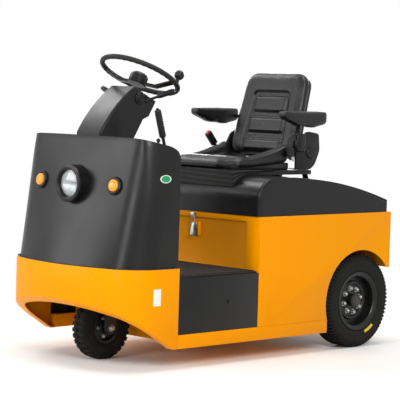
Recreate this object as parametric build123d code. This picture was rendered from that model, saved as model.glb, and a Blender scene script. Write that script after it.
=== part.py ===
from build123d import *
import os
from math import atan2, cos, pi, radians, sin, sqrt, tan

# Electric tow tractor: one steered front wheel, two driven rear wheels, a seated driver.
# Millimetres. +X points forward, +Y to the driver's left, +Z up.
# The origin lies on the ground under the middle of the outline.

# Layout along the length
rear_axle_x = -650
wheelbase = 1317
rear_overhang = 218
body_length = 954
band_setback = 64
nose_length = 357

# Widths and heights
half_width = 450
chassis_z = 93
floor_z = 412
body_top_z = 674
band_top_z = 458

# Sheet metal and running clearances
sheet = 5
floor_sheet = 6
frame_plate = 8
seat_gap = 0.3
shaft_gap = 0.3

# Wheels: outside diameter over the lugs, width, share of the diameter where the rubber meets the rim
rear_tyre_d = 465
rear_tyre_w = 130
rear_rim_share = 0.299
rear_stub_d = 36
front_tyre_d = 300
front_tyre_w = 88
front_rim_share = 0.2533
front_shaft_d = 24
rim_thick = 12
hub_thick = 13
rear_lugs = 36
front_lugs = 24

# Nose band and hood in plan
nose_corner_r = 190
nose_bow_r = 1000
band_corner_x_step = 28
band_slope = 32.2
band_flange = 45
hood_inset = 12
hood_sheet = 4
hood_lean = 13.9
hood_top_z = 1040
hood_rear_corner_r = 45
cowl_setback = 30

# Body panels
sill_height = 63
sill_width = 40
arch_room = 23.5
arch_lap = 13
skirt_rise = 27
panel_thick = 14
panel_recess = 9
panel_post = 93

# Lid over the battery
lid_side_inset = 7
lid_front_step = 5
lid_rear_inset = 17
lid_sheet = 6
lid_crest_rise = 182
lid_crest_setback = 176
lid_fall = 126
lid_front_r = 100
lid_edge_r = 16
hinge_pin_d = 8
hinge_knuckle_d = 16
hinge_rise = 10
hinge_inset = 190
hinge_lap = 1
hinge_length = 80

# Derived stations
front_axle_x = rear_axle_x + wheelbase
body_rear_x = rear_axle_x - rear_overhang
body_front_x = body_rear_x + body_length
band_rear_x = front_axle_x - band_setback
nose_x = band_rear_x + nose_length
rear_axle_z = rear_tyre_d / 2
front_axle_z = front_tyre_d / 2
rear_rim_r = rear_rim_share * rear_tyre_d
front_rim_r = front_rim_share * front_tyre_d
rear_wheel_y = half_width - lid_side_inset - rear_tyre_w / 2
arch_r = rear_tyre_d / 2 + arch_room
sill_top_z = chassis_z + sill_height
sill_rear_x = rear_axle_x + arch_r - arch_lap
floor_under_z = floor_z - floor_sheet

# Rear axle and its deck
beam_d = 90
beam_room = 17
beam_half = rear_wheel_y - rear_tyre_w / 2 - beam_room
gear_case_r = 110
gear_case_half = 70
hanger_inset = 76
hanger_width = 60
deck_room = 23.5
deck_lap = 4
rear_plate_drop = 190
rear_deck_z = rear_axle_z + gear_case_r + deck_room
rear_deck_half = beam_half + deck_lap
rear_skirt_z = rear_deck_z + skirt_rise


def block(x0, x1, y0, y1, z0, z1):
    return Pos((x0 + x1) / 2, (y0 + y1) / 2, (z0 + z1) / 2) * Box(x1 - x0, y1 - y0, z1 - z0)


def polygon(*points):
    return make_face(Polyline(*points, close=True))


def side_slab(outline, y0, y1):
    """An outline drawn in side view (X, Z), thickened from y0 to y1."""
    return extrude(Plane.XZ.offset(-y1) * outline, amount=y1 - y0)


def rounded_at(outline, point, radius):
    """The outline with its corner nearest to the point rounded."""
    return fillet(outline.vertices().sort_by_distance((point[0], point[1], 0))[0], radius)


def rod(start, end, diameter):
    """A round bar between two points."""
    path = Vector(*end) - Vector(*start)
    section = Plane(origin=start, z_dir=path) * Circle(diameter / 2)
    return extrude(section, amount=path.length)


def cross_rod(x, y0, y1, z, diameter):
    """A round bar that runs across the tractor."""
    return rod((x, y0, z), (x, y1, z), diameter)


def right_copy(piece):
    return mirror(piece, about=Plane.XZ)


def both_sides(piece):
    return Compound([piece, right_copy(piece)])


def nose_outline(inset, rear_x, front_x):
    """Plan of the nose: straight sides, round corners, a gently bowed front."""
    side = half_width - inset
    corner = nose_corner_r - inset
    bow = nose_bow_r - inset
    front = front_x - inset
    reach = bow - corner
    bow_x = front - bow
    corner_y = side - corner
    corner_x = bow_x + sqrt(reach**2 - corner_y**2)
    turn = atan2(corner_y, corner_x - bow_x)
    middle = (turn + pi / 2) / 2
    join = (bow_x + bow * cos(turn), bow * sin(turn))
    bend = (corner_x + corner * cos(middle), corner_y + corner * sin(middle))
    outline = [
        Line((rear_x, -side), (corner_x, -side)),
        ThreePointArc((corner_x, -side), (bend[0], -bend[1]), (join[0], -join[1])),
        ThreePointArc((join[0], -join[1]), (front, 0), join),
        ThreePointArc(join, bend, (corner_x, side)),
        Line((corner_x, side), (rear_x, side)),
        Line((rear_x, side), (rear_x, -side)),
    ]
    return make_face(outline)


nodes = {}

# Frame: underfloor plate, sills, wheel well wall, steering head, rear deck
well_room = 34
front_sweep_r = sqrt((front_tyre_d / 2) ** 2 + (front_tyre_w / 2) ** 2)
well_x = front_axle_x - front_sweep_r - well_room
head_plate = 16
head_half = 160
head_z = floor_under_z - head_plate
king_pin_d = 50
rear_wall_x = sill_rear_x + frame_plate

frame = block(sill_rear_x, well_x, -half_width, half_width, chassis_z, chassis_z + frame_plate)
for y0 in (-half_width, half_width - sill_width):
    frame += block(sill_rear_x, band_rear_x, y0, y0 + sill_width, chassis_z, sill_top_z)
well_half = half_width - sill_width
frame += block(well_x - frame_plate, well_x, -well_half, well_half, chassis_z, floor_under_z)
frame += block(well_x - frame_plate, front_axle_x + head_half, -head_half, head_half, head_z, floor_under_z)
frame += block(sill_rear_x, rear_wall_x, -rear_deck_half, rear_deck_half, chassis_z, rear_deck_z)
frame += block(
    body_rear_x + sheet, rear_wall_x, -rear_deck_half, rear_deck_half, rear_deck_z - frame_plate, rear_deck_z
)
frame += block(
    body_rear_x + sheet,
    body_rear_x + sheet + frame_plate,
    -rear_deck_half,
    rear_deck_half,
    rear_deck_z - frame_plate,
    body_top_z - rear_plate_drop,
)
frame -= Pos(front_axle_x, 0, head_z) * Cylinder(king_pin_d / 2 + shaft_gap, 4 * head_plate)
nodes["chassis_frame"] = frame

# Floor: one plate from the body to the nose
floor_plan = nose_outline(sheet + seat_gap, body_front_x, nose_x)
nodes["floor_plate"] = Pos(0, 0, floor_under_z) * extrude(floor_plan, amount=floor_sheet)

# Step panels under the door openings
step_inset = 2
step = block(
    body_front_x,
    band_rear_x,
    half_width - step_inset - sheet,
    half_width - step_inset,
    sill_top_z,
    floor_under_z,
)
nodes["step_panels"] = both_sides(step)

# Nose band: a bent wall cut along a slope, with a flange turned in along the cut
band_foot_x = band_rear_x + band_corner_x_step
slope = tan(radians(band_slope))


def above_slope(lift):
    """The space above the sloped lower edge of the band."""
    reach = nose_x + half_width
    foot_z = chassis_z + lift
    outline = polygon(
        (band_rear_x, foot_z),
        (band_foot_x, foot_z),
        (reach, foot_z + (reach - band_foot_x) * slope),
        (reach, 2 * reach),
        (band_rear_x, 2 * reach),
    )
    return side_slab(outline, -half_width, half_width)


def nose_prism(inset):
    plan = nose_outline(inset, band_rear_x, nose_x)
    return Pos(0, 0, chassis_z) * extrude(plan, amount=band_top_z - chassis_z)


sheet_rise = sheet / cos(radians(band_slope))
band_wall = (nose_prism(0) - nose_prism(sheet)) & above_slope(0)
band_lip = (nose_prism(0) - nose_prism(band_flange)) & (above_slope(0) - above_slope(sheet_rise))
nodes["nose_band"] = band_wall + band_lip

# Hood: leans back, its top is square to its front
lean = radians(hood_lean)
hood_front_x = nose_x - hood_inset
hood_top_front_x = hood_front_x - (hood_top_z - floor_z) * tan(lean)
loft_z = hood_top_z + half_width / 4
loft_front_x = nose_x - (loft_z - floor_z) * tan(lean)
loft_rear_x = band_rear_x - half_width / 3


def dash_z(x):
    """Height of the hood's sloped top at a station."""
    return hood_top_z - (hood_top_front_x - x) * tan(lean)


def hood_form(inset):
    low = Plane.XY.offset(floor_z) * nose_outline(inset, loft_rear_x, nose_x)
    high = Plane.XY.offset(loft_z) * nose_outline(inset, loft_rear_x, loft_front_x)
    return loft([low, high], ruled=True)


hood_side = rounded_at(
    polygon(
        (band_rear_x, floor_z),
        (nose_x, floor_z),
        (nose_x, dash_z(nose_x)),
        (band_rear_x, dash_z(band_rear_x)),
    ),
    (band_rear_x, dash_z(band_rear_x)),
    hood_rear_corner_r,
)
hood_room = hood_form(hood_inset + hood_sheet + seat_gap)
hood_wall = hood_form(hood_inset) - hood_form(hood_inset + hood_sheet)
hood = hood_wall & side_slab(hood_side, -half_width, half_width)

# Lamps in the hood: one headlamp, two turn lamps
headlamp_drop = 219
headlamp_r = 84
headlamp_lens_r = 62
headlamp_stand = 46
headlamp_depth = 30
lens_setback = 10
headlamp_z = hood_top_z - headlamp_drop
headlamp_wall_x = hood_front_x - (headlamp_z - floor_z) * tan(lean)
headlamp_face_x = headlamp_wall_x + headlamp_stand
headlamp_back_x = headlamp_wall_x - headlamp_depth
turn_lamp_inset = 196
turn_lamp_drop = 218
turn_lamp_y = half_width - turn_lamp_inset
turn_lamp_z = hood_top_z - turn_lamp_drop
turn_bezel_r = 42
turn_lens_r = 28
turn_stand = 12
turn_depth = 24


def lengthwise_disc(x0, x1, z, radius):
    return Pos((x0 + x1) / 2, 0, z) * Rot(0, 90, 0) * Cylinder(radius, x1 - x0)


headlamp = lengthwise_disc(headlamp_back_x, headlamp_face_x, headlamp_z, headlamp_r)
lens_pocket = lengthwise_disc(headlamp_wall_x, headlamp_face_x, headlamp_z, headlamp_lens_r)
nodes["headlamp_housing"] = headlamp - lens_pocket
nodes["headlamp_lens"] = lengthwise_disc(
    headlamp_wall_x, headlamp_face_x - lens_setback, headlamp_z, headlamp_lens_r - seat_gap
)
hood -= lengthwise_disc(headlamp_back_x, headlamp_face_x, headlamp_z, headlamp_r + seat_gap)

hood_bow_r = nose_bow_r - hood_inset
turn_yaw = atan2(turn_lamp_y, sqrt(hood_bow_r**2 - turn_lamp_y**2))
turn_wall_x = hood_front_x - (turn_lamp_z - floor_z) * tan(lean) - hood_bow_r * (1 - cos(turn_yaw))
turn_seat = Plane(
    origin=(turn_wall_x, turn_lamp_y, turn_lamp_z),
    z_dir=(cos(turn_yaw) * cos(lean), sin(turn_yaw) * cos(lean), sin(lean)),
)


def turn_disc(low, high, radius):
    return turn_seat * Pos(0, 0, (low + high) / 2) * Cylinder(radius, high - low)


bezel = turn_disc(-turn_depth, turn_stand, turn_bezel_r) - turn_disc(0, turn_stand, turn_lens_r)
nodes["turn_lamp_bezels"] = both_sides(bezel)
nodes["turn_lamp_lenses"] = both_sides(turn_disc(0, 2 * turn_stand, turn_lens_r - seat_gap))
turn_hole = turn_disc(-2 * turn_depth, 2 * turn_depth, turn_bezel_r + seat_gap)
hood = hood - turn_hole - right_copy(turn_hole)
nodes["hood"] = hood

# Dash panel under the hood's top edge and the cowl panel that closes the hood behind
dash_sheet = 5
dash_strip = polygon(
    (band_rear_x, dash_z(band_rear_x) - hood_rear_corner_r),
    (nose_x, dash_z(nose_x) - hood_rear_corner_r),
    (nose_x, dash_z(nose_x) - hood_rear_corner_r + dash_sheet),
    (band_rear_x, dash_z(band_rear_x) - hood_rear_corner_r + dash_sheet),
)
dash_drop = hood_rear_corner_r - dash_sheet
nodes["dash_panel"] = hood_room & side_slab(dash_strip, -half_width, half_width)
cowl_x = band_rear_x + cowl_setback
cowl_strip = polygon(
    (cowl_x, floor_z),
    (cowl_x + sheet, floor_z),
    (cowl_x + sheet, dash_z(cowl_x + sheet) - hood_rear_corner_r),
    (cowl_x, dash_z(cowl_x) - hood_rear_corner_r),
)
nodes["cowl_panel"] = hood_room & side_slab(cowl_strip, -half_width, half_width)

# Steering wheel and the column cover under it
wheel_setback = 136
wheel_rise = 281
wheel_x = band_rear_x - wheel_setback
wheel_z = hood_top_z + wheel_rise
wheel_tilt = 26
wheel_r = 187.5
wheel_grip_d = 25
wheel_dish = 40
wheel_hub_r = 45
wheel_hub_height = 56
wheel_hub_rise = 8
spoke_turn = 20
spoke_flat_share = 0.55
spoke_width = 34
spoke_thick = 10
column_d = 44
column_top_drop = 93
column_half = 85
column_edge_r = 10
wheel_seat = Plane(
    origin=(wheel_x, 0, wheel_z),
    x_dir=(cos(radians(wheel_tilt)), 0, sin(radians(wheel_tilt))),
    z_dir=(-sin(radians(wheel_tilt)), 0, cos(radians(wheel_tilt))),
)
spoke_flat = spoke_flat_share * wheel_r
spoke_rise = atan2(wheel_dish, wheel_r - spoke_flat) * 180 / pi
spoke_run = sqrt((wheel_r - spoke_flat) ** 2 + wheel_dish**2)
flat_spoke = Pos(0, 0, -wheel_dish) * Box(spoke_width, 2 * spoke_flat, spoke_thick)
bent_spoke = Pos(0, spoke_flat, -wheel_dish) * Rot(spoke_rise, 0, 0) * Pos(0, spoke_run / 2, 0)
bent_spoke = bent_spoke * Box(spoke_width, spoke_run, spoke_thick)
spokes = Rot(0, 0, spoke_turn) * (flat_spoke + bent_spoke + right_copy(bent_spoke))
hub = Pos(0, 0, wheel_hub_rise - wheel_hub_height / 2) * Cylinder(wheel_hub_r, wheel_hub_height)
steering_wheel = Torus(wheel_r, wheel_grip_d / 2) + hub + spokes
shaft_foot = seat_gap - column_top_drop
steering_wheel += Pos(0, 0, (shaft_foot - wheel_dish) / 2) * Cylinder(column_d / 2, -wheel_dish - shaft_foot)
nodes["steering_wheel"] = wheel_seat * steering_wheel

knob_angle = 116
knob_r = 23.5
knob_neck_d = 18
knob_height = 33
knob_at = Rot(0, 0, knob_angle) * Pos(wheel_r, 0, wheel_grip_d / 2 + seat_gap)
knob = Pos(0, 0, knob_height / 2) * Cylinder(knob_neck_d / 2, knob_height)
knob += Pos(0, 0, knob_height) * Sphere(knob_r)
nodes["spinner_knob"] = wheel_seat * knob_at * knob

column_front = 71
column_back = 83
column_waist = (10, 191)
column_notch = (45, 205)
column_foot_setback = 13
column_foot_step = 8
column_foot_rise = 12
column_bulge = 17
column_foot_front_x = hood_top_front_x - column_foot_setback
column_foot_rear_x = band_rear_x + column_foot_step


def on_wheel(forward, down):
    """A point beside the steering axis, in side view."""
    tilt = radians(wheel_tilt)
    return (
        wheel_x + forward * cos(tilt) + down * sin(tilt),
        wheel_z + forward * sin(tilt) - down * cos(tilt),
    )


column_top = on_wheel(column_front, column_top_drop)
column_knee = (column_foot_front_x, hood_top_z + column_foot_rise)
column_run = (column_knee[0] - column_top[0], column_top[1] - column_knee[1])
bulge_share = column_bulge / sqrt(column_run[0] ** 2 + column_run[1] ** 2)
column_brow = (
    (column_top[0] + column_knee[0]) / 2 + bulge_share * column_run[1],
    (column_top[1] + column_knee[1]) / 2 + bulge_share * column_run[0],
)
column_back_line = Polyline(
    column_top,
    on_wheel(-column_back, column_top_drop),
    (wheel_x + column_waist[0], wheel_z - column_waist[1]),
    (wheel_x + column_notch[0], wheel_z - column_notch[1]),
    (column_foot_rear_x, dash_z(column_foot_rear_x) - dash_drop + seat_gap),
    (column_foot_front_x, dash_z(column_foot_front_x) - dash_drop + seat_gap),
    column_knee,
)
column_outline = make_face([*column_back_line.edges(), ThreePointArc(column_knee, column_brow, column_top)])
column = side_slab(column_outline, -column_half, column_half)
rims = [e for e in column.edges() if abs(abs(e.center().Y) - column_half) < sheet]
nodes["column_cover"] = fillet(rims, column_edge_r)

# Controls: two stalks and a rotary switch on the column, the parking brake, two pedals
stalk_d = 12
stalk_knob_r = 14
stalk_setback = 20
stalk_drop = 30
stalk_root = on_wheel(-stalk_setback, column_top_drop + stalk_drop)
# Tips: side, step forward of the wheel's middle, reach beside the column, drop below the wheel
stalk_tips = [(1, -49, 95, 69), (-1, 33, 140, 64)]
switch_r = 30
switch_depth = 16
switch_step = 20
switch_drop = 36
switch_at = on_wheel(switch_step, column_top_drop + switch_drop)
stalks = []
for side, tip_step, tip_reach, tip_drop in stalk_tips:
    tip = (wheel_x + tip_step, side * (column_half + tip_reach), wheel_z - tip_drop)
    root = (stalk_root[0], side * (column_half + seat_gap), stalk_root[1])
    stalk = rod(root, tip, stalk_d) + Pos(*tip) * Sphere(stalk_knob_r)
    stalks.append(stalk - side_slab(column_outline, -column_half - seat_gap, column_half + seat_gap))
switch_seat = column_half + seat_gap
stalks.append(cross_rod(switch_at[0], switch_seat, column_half + switch_depth, switch_at[1], 2 * switch_r))
nodes["column_controls"] = Compound(stalks)

lever_inset = 200
lever_d = 16
lever_grip_d = 32
lever_grip_length = 130
lever_foot_drop = 190
lever_knee_setback = 72
lever_knee_drop = 40
lever_top_setback = 22
lever_top_rise = 124
lever_y = half_width - lever_inset
lever_foot_z = hood_top_z - lever_foot_drop
lever_knee = (band_rear_x - lever_knee_setback, hood_top_z - lever_knee_drop)
lever_top = (band_rear_x - lever_top_setback, hood_top_z + lever_top_rise)
lever_span = sqrt((lever_top[0] - lever_knee[0]) ** 2 + (lever_top[1] - lever_knee[1]) ** 2)
grip_share = lever_grip_length / lever_span
grip_foot = (
    lever_top[0] - grip_share * (lever_top[0] - lever_knee[0]),
    lever_top[1] - grip_share * (lever_top[1] - lever_knee[1]),
)
lever = rod((cowl_x, lever_y, lever_foot_z), (lever_knee[0], lever_y, lever_knee[1]), lever_d)
lever += Pos(lever_knee[0], lever_y, lever_knee[1]) * Sphere(lever_d / 2)
lever += rod((lever_knee[0], lever_y, lever_knee[1]), (lever_top[0], lever_y, lever_top[1]), lever_d)
lever += rod((grip_foot[0], lever_y, grip_foot[1]), (lever_top[0], lever_y, lever_top[1]), lever_grip_d)
cowl_face = block(cowl_x - seat_gap, cowl_x + wheel_x, 0, half_width, floor_z, hood_top_z)
nodes["parking_brake_lever"] = lever - cowl_face

pedal_d = 14
pedal_pad = (12, 70, 90)
pedal_tilt = 30
pedal_reach = 95
pedal_rise = 208
# Pedals: place across the tractor, height of the pad above the floor
pedal_spots = [(-70, 88), (-190, 78)]
pad_x = cowl_x - pedal_reach
pedals = []
for pedal_y, pad_rise in pedal_spots:
    pad_z = floor_z + pad_rise
    arm = rod((cowl_x - seat_gap, pedal_y, floor_z + pedal_rise), (pad_x, pedal_y, pad_z), pedal_d)
    pad = Pos(pad_x, pedal_y, pad_z) * Rot(0, pedal_tilt, 0) * Box(*pedal_pad)
    pedals.append((arm + pad) - block(cowl_x - seat_gap, nose_x, -half_width, 0, floor_z, hood_top_z))
nodes["foot_pedals"] = Compound(pedals)

# Body: side panels with wheel arches, front and rear panels
side_outline = polygon(
    (body_rear_x, rear_skirt_z),
    (body_rear_x, body_top_z),
    (body_front_x, body_top_z),
    (body_front_x, sill_top_z),
    (sill_rear_x, sill_top_z),
    (sill_rear_x, rear_axle_z),
    (rear_axle_x, rear_axle_z),
    (rear_axle_x, rear_skirt_z),
)
side_panel = side_slab(side_outline, half_width - sheet, half_width)
side_panel -= cross_rod(rear_axle_x, half_width - 2 * sheet, half_width + sheet, rear_axle_z, 2 * arch_r)
nodes["left_side_panel"] = side_panel
nodes["right_side_panel"] = right_copy(side_panel)

panel_half = half_width - sheet
front_panel = block(
    body_front_x - panel_thick, body_front_x, -panel_half, panel_half, chassis_z + frame_plate, body_top_z
)
front_panel -= block(
    body_front_x - panel_recess,
    body_front_x,
    panel_post - half_width,
    half_width - panel_post,
    floor_z,
    body_top_z - 2 * panel_thick,
)
front_panel -= block(
    body_front_x - 2 * panel_thick, body_front_x, panel_half - sill_width, half_width, 0, sill_top_z
)
front_panel -= block(
    body_front_x - 2 * panel_thick, body_front_x, -half_width, sill_width - panel_half, 0, sill_top_z
)
nodes["front_panel"] = front_panel
nodes["rear_panel"] = block(
    body_rear_x, body_rear_x + sheet, -panel_half, panel_half, rear_skirt_z, body_top_z
)

# Toggle latch that holds the lid shut
latch_width = 34
latch_depth = 12
latch_lever_drop = 123
latch_loop_drop = 60
latch_hook_drop = 34
latch_top_drop = 6
latch_lever = (body_top_z - latch_lever_drop, body_top_z - latch_loop_drop)
latch_hook = (body_top_z - latch_hook_drop, body_top_z - latch_top_drop)
latch_x = body_front_x - panel_recess
latch = block(latch_x, latch_x + panel_recess + latch_depth, -latch_width / 2, latch_width / 2, *latch_lever)
latch_top = block(body_front_x, body_front_x + latch_depth, -latch_width / 2, latch_width / 2, *latch_hook)
loop_x = body_front_x + latch_depth / 2
for y in (-latch_width / 4, latch_width / 4):
    latch += rod((loop_x, y, latch_lever[1]), (loop_x, y, latch_hook[0]), latch_depth / 2)
nodes["lid_latch"] = latch + latch_top

# Battery block and drive unit
battery_front_gap = 20
battery_inset = 110
battery_drop = 34
battery_half = half_width - battery_inset
nodes["battery_pack"] = block(
    rear_wall_x + battery_front_gap,
    body_front_x - panel_thick - battery_front_gap,
    -battery_half,
    battery_half,
    chassis_z + frame_plate,
    body_top_z - battery_drop,
)
hanger_y = beam_half - hanger_inset
stub_end_y = rear_wheel_y + rear_tyre_w / 4
axle = cross_rod(rear_axle_x, -beam_half, beam_half, rear_axle_z, beam_d)
axle += cross_rod(rear_axle_x, -stub_end_y, stub_end_y, rear_axle_z, rear_stub_d)
axle += cross_rod(rear_axle_x, -gear_case_half, gear_case_half, rear_axle_z, 2 * gear_case_r)
for y in (-hanger_y, hanger_y):
    axle += block(
        rear_axle_x - beam_d / 2,
        rear_axle_x + beam_d / 2,
        y - hanger_width / 2,
        y + hanger_width / 2,
        rear_axle_z,
        rear_deck_z - frame_plate,
    )
nodes["rear_axle"] = axle
motor_d = 190
motor_length = 250
motor_seat = Pos(rear_axle_x, 0, rear_deck_z + motor_length / 2)
nodes["drive_motor"] = motor_seat * Cylinder(motor_d / 2, motor_length)

# Tow hitch: two ears with an upright bore, and its pin parked beside the jaw
hitch_rise = 37
hitch_reach = 92
jaw_gap = 60
ear_thick = 18
ear_width = 90
bore_d = 26
hitch_plate = 14
hitch_plate_half = 130
bore_back = 32
hitch_z = rear_skirt_z + hitch_rise
hitch_rear_x = body_rear_x - hitch_reach
bore_x = hitch_rear_x + bore_back
hitch_half_z = jaw_gap / 2 + ear_thick
hitch = block(
    body_rear_x - hitch_plate,
    body_rear_x,
    -hitch_plate_half,
    hitch_plate_half,
    hitch_z - hitch_half_z,
    hitch_z + hitch_half_z,
)
for z0 in (hitch_z - hitch_half_z, hitch_z + jaw_gap / 2):
    hitch += block(hitch_rear_x, body_rear_x, -ear_width / 2, ear_width / 2, z0, z0 + ear_thick)
pin_d = 24
pin_length = 140
pin_head_r = 20
pin_y = hitch_plate_half - pin_d
holder_x = body_rear_x - hitch_plate - pin_d
hitch += block(
    holder_x - pin_d, body_rear_x, pin_y - pin_d, pin_y + pin_d, hitch_z - ear_thick, hitch_z + ear_thick
)
hitch -= Pos(bore_x, 0, hitch_z) * Cylinder(bore_d / 2, 4 * jaw_gap)
hitch -= Pos(holder_x, pin_y, hitch_z) * Cylinder(pin_d / 2 + shaft_gap, 4 * jaw_gap)
nodes["tow_hitch"] = hitch
pin_top_z = hitch_z + ear_thick
pin = Pos(holder_x, pin_y, pin_top_z - pin_length / 2) * Cylinder(pin_d / 2, pin_length)
pin += Pos(holder_x, pin_y, pin_top_z + pin_d / 2) * Cylinder(pin_head_r, pin_d)
nodes["tow_pin"] = pin

# Rear lamps
rear_lamp_inset = 90
rear_lamp_drop = 74
rear_lamp_r = 36
rear_lamp_depth = 22
rear_lamp_y = half_width - rear_lamp_inset
rear_lamp_z = body_top_z - rear_lamp_drop
lamp_seat = Pos(body_rear_x - rear_lamp_depth / 2, rear_lamp_y, rear_lamp_z) * Rot(0, 90, 0)
nodes["rear_lamps"] = both_sides(lamp_seat * Cylinder(rear_lamp_r, rear_lamp_depth))

# Lid: an open shell with a bowed top, hinged along its rear edge
lid_z = body_top_z + seat_gap
lid_front_x = body_front_x + lid_front_step
lid_rear_x = body_rear_x + lid_rear_inset
lid_half = half_width - lid_side_inset
lid_crest_z = body_top_z + lid_crest_rise
lid_crest_x = body_front_x - lid_crest_setback
lid_run = lid_crest_x - lid_rear_x
lid_bow_r = (lid_run**2 + lid_fall**2) / (2 * lid_fall)


def lid_z_at(x, drop):
    """Height of the lid's bowed top, or of its inside when drop is the wall."""
    bow = lid_bow_r - drop
    return lid_crest_z - lid_bow_r + sqrt(bow**2 - (x - lid_crest_x) ** 2)


def lid_form(drop, foot_z):
    front = lid_front_x - drop
    rear = lid_rear_x + drop
    crest = (lid_crest_x, lid_crest_z - drop)
    outline = make_face(
        [
            Line((rear, foot_z), (front, foot_z)),
            Line((front, foot_z), (front, lid_z_at(front, drop))),
            ThreePointArc((front, lid_z_at(front, drop)), crest, (rear, lid_z_at(rear, drop))),
            Line((rear, lid_z_at(rear, drop)), (rear, foot_z)),
        ]
    )
    outline = rounded_at(outline, (front, lid_z_at(front, drop)), lid_front_r - drop)
    solid = side_slab(outline, drop - lid_half, lid_half - drop)
    edges = [e for e in solid.edges() if abs(abs(e.center().Y) - lid_half + drop) < sheet]
    return fillet([e for e in edges if e.center().Z > lid_z + sheet], lid_edge_r - drop)


hinge_spread = half_width - hinge_inset
hinge_x = lid_rear_x - hinge_knuckle_d / 2 + hinge_lap
hinge_z = lid_z + hinge_rise
lid = lid_form(0, lid_z) - lid_form(lid_sheet, lid_z - lid_sheet)
hinge_pins = []
for y in (-hinge_spread, hinge_spread):
    y0, y1 = y - hinge_length / 2, y + hinge_length / 2
    lid += cross_rod(hinge_x, y0, y1, hinge_z, hinge_knuckle_d)
    lid -= cross_rod(hinge_x, y0 - hinge_lap, y1 + hinge_lap, hinge_z, hinge_pin_d + 2 * shaft_gap)
    pin_rod = cross_rod(hinge_x, y0 - hinge_knuckle_d, y1 + hinge_knuckle_d, hinge_z, hinge_pin_d)
    post_step = hinge_knuckle_d / 2 + hinge_lap
    for post_y in (y0 - post_step, y1 + post_step):
        pin_rod += block(
            hinge_x - hinge_pin_d / 2,
            hinge_x + hinge_pin_d / 2,
            post_y - hinge_knuckle_d / 2,
            post_y + hinge_knuckle_d / 2,
            body_top_z - sill_width,
            hinge_z + hinge_pin_d / 2,
        )
    hinge_pins.append(pin_rod)
nodes["lid"] = lid
nodes["lid_hinges"] = Compound(hinge_pins) - nodes["rear_panel"]

# Seat on the lid: base, pan, cushion, brackets, belt
seat_overhang = 14
cushion_depth = 445
cushion_half = 250
cushion_rise = 90
cushion_thick = 66
pan_thick = 22
pan_tail = 130
base_setback = 55
base_tail = 70
base_half = 190
seat_front_x = body_front_x + seat_overhang
seat_rear_x = seat_front_x - cushion_depth
pan_rear_x = seat_rear_x - pan_tail
base_front_x = seat_front_x - base_setback
cushion_top_z = lid_crest_z + cushion_rise
pan_top_z = cushion_top_z - cushion_thick - seat_gap
pan_z = pan_top_z - pan_thick
cushion = block(
    seat_rear_x, seat_front_x, -cushion_half, cushion_half, cushion_top_z - cushion_thick, cushion_top_z
)
cushion = fillet(cushion.edges(), cushion_thick / 3)
wing_reach = 275
wing_rise = 82
wing_width = 80
wing_sag = 27
wing_foot = cushion_top_z - cushion_thick / 2
wing_outline = make_face(
    [
        Line((seat_rear_x, wing_foot), (seat_rear_x + wing_reach, wing_foot)),
        Line((seat_rear_x + wing_reach, wing_foot), (seat_rear_x + wing_reach, cushion_top_z)),
        ThreePointArc(
            (seat_rear_x + wing_reach, cushion_top_z),
            (seat_rear_x + wing_reach / 2, cushion_top_z + wing_sag),
            (seat_rear_x, cushion_top_z + wing_rise),
        ),
        Line((seat_rear_x, cushion_top_z + wing_rise), (seat_rear_x, wing_foot)),
    ]
)
wing = side_slab(wing_outline, cushion_half - wing_width, cushion_half)
wing_rims = [e for e in wing.edges() if e.center().Z > wing_foot + wing_sag / 2]
wing = fillet(wing_rims, wing_width / 4)
nodes["seat_cushion"] = cushion + wing + right_copy(wing)
pan_front_x = seat_front_x - pan_thick
nodes["seat_pan"] = block(pan_rear_x, pan_front_x, -cushion_half, cushion_half, pan_z, pan_top_z)
base_rear_x = base_front_x - cushion_depth + base_tail
base = block(base_rear_x, base_front_x, -base_half, base_half, lid_z + lid_front_r, pan_z - seat_gap)
nodes["seat_base"] = base - Pos(0, 0, seat_gap) * lid_form(0, lid_z)

recline_setback = 125
recline_rise = 19
recline_pin_d = 20
back_half = 228
bracket_gap = 7
bracket_thick = 12
bracket_corner_r = 18
# Outline of the hinge housing: step forward of the recline pin, rise above it
bracket_rises = [(105, 30), (75, 82), (20, 106), (-60, 95), (-69, 10), (-36, -60)]
recline_x = seat_rear_x - recline_setback
recline_z = cushion_top_z + recline_rise
bracket_y = back_half + bracket_gap
bracket_foot_z = pan_top_z + seat_gap
bracket_outline = polygon(
    (recline_x, bracket_foot_z),
    (recline_x + bracket_rises[0][0], bracket_foot_z),
    *((recline_x + step, recline_z + rise) for step, rise in bracket_rises),
)
bracket_corners = [v for v in bracket_outline.vertices() if v.Y > pan_top_z + bracket_corner_r]
bracket_outline = fillet(bracket_corners, bracket_corner_r)
bracket = side_slab(bracket_outline, bracket_y, bracket_y + bracket_thick)
bracket += cross_rod(recline_x, back_half - 4 * bracket_gap, bracket_y, recline_z, recline_pin_d)
nodes["seat_brackets"] = both_sides(bracket)

retractor = (60, 25, 90)
retractor_step = 92
retractor_rise = 50
nodes["belt_retractor"] = Pos(
    recline_x + retractor_step,
    bracket_y + bracket_thick + retractor[1] / 2 + seat_gap,
    recline_z + retractor_rise,
) * Box(*retractor)
buckle = (34, 26, 80)
buckle_lean = 42
buckle_step = 70
buckle_drop = 60
buckle_run = 88
buckle_climb = 85
buckle_root = (recline_x + buckle_step, -bracket_y - bracket_thick - buckle[1], recline_z - buckle_drop)
buckle_tip = (buckle_root[0] + buckle_run, buckle_root[1], buckle_root[2] + buckle_climb)
buckle_stalk = rod(buckle_root, buckle_tip, stalk_d)
buckle_stalk += Pos(*buckle_tip) * Rot(0, buckle_lean, 0) * Pos(0, 0, buckle[2] / 2) * Box(*buckle)
buckle_seat = (buckle_root[0], -bracket_y - bracket_thick - seat_gap, buckle_root[2])
buckle_stalk += rod(buckle_root, buckle_seat, stalk_d)
nodes["belt_buckle"] = buckle_stalk

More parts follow.
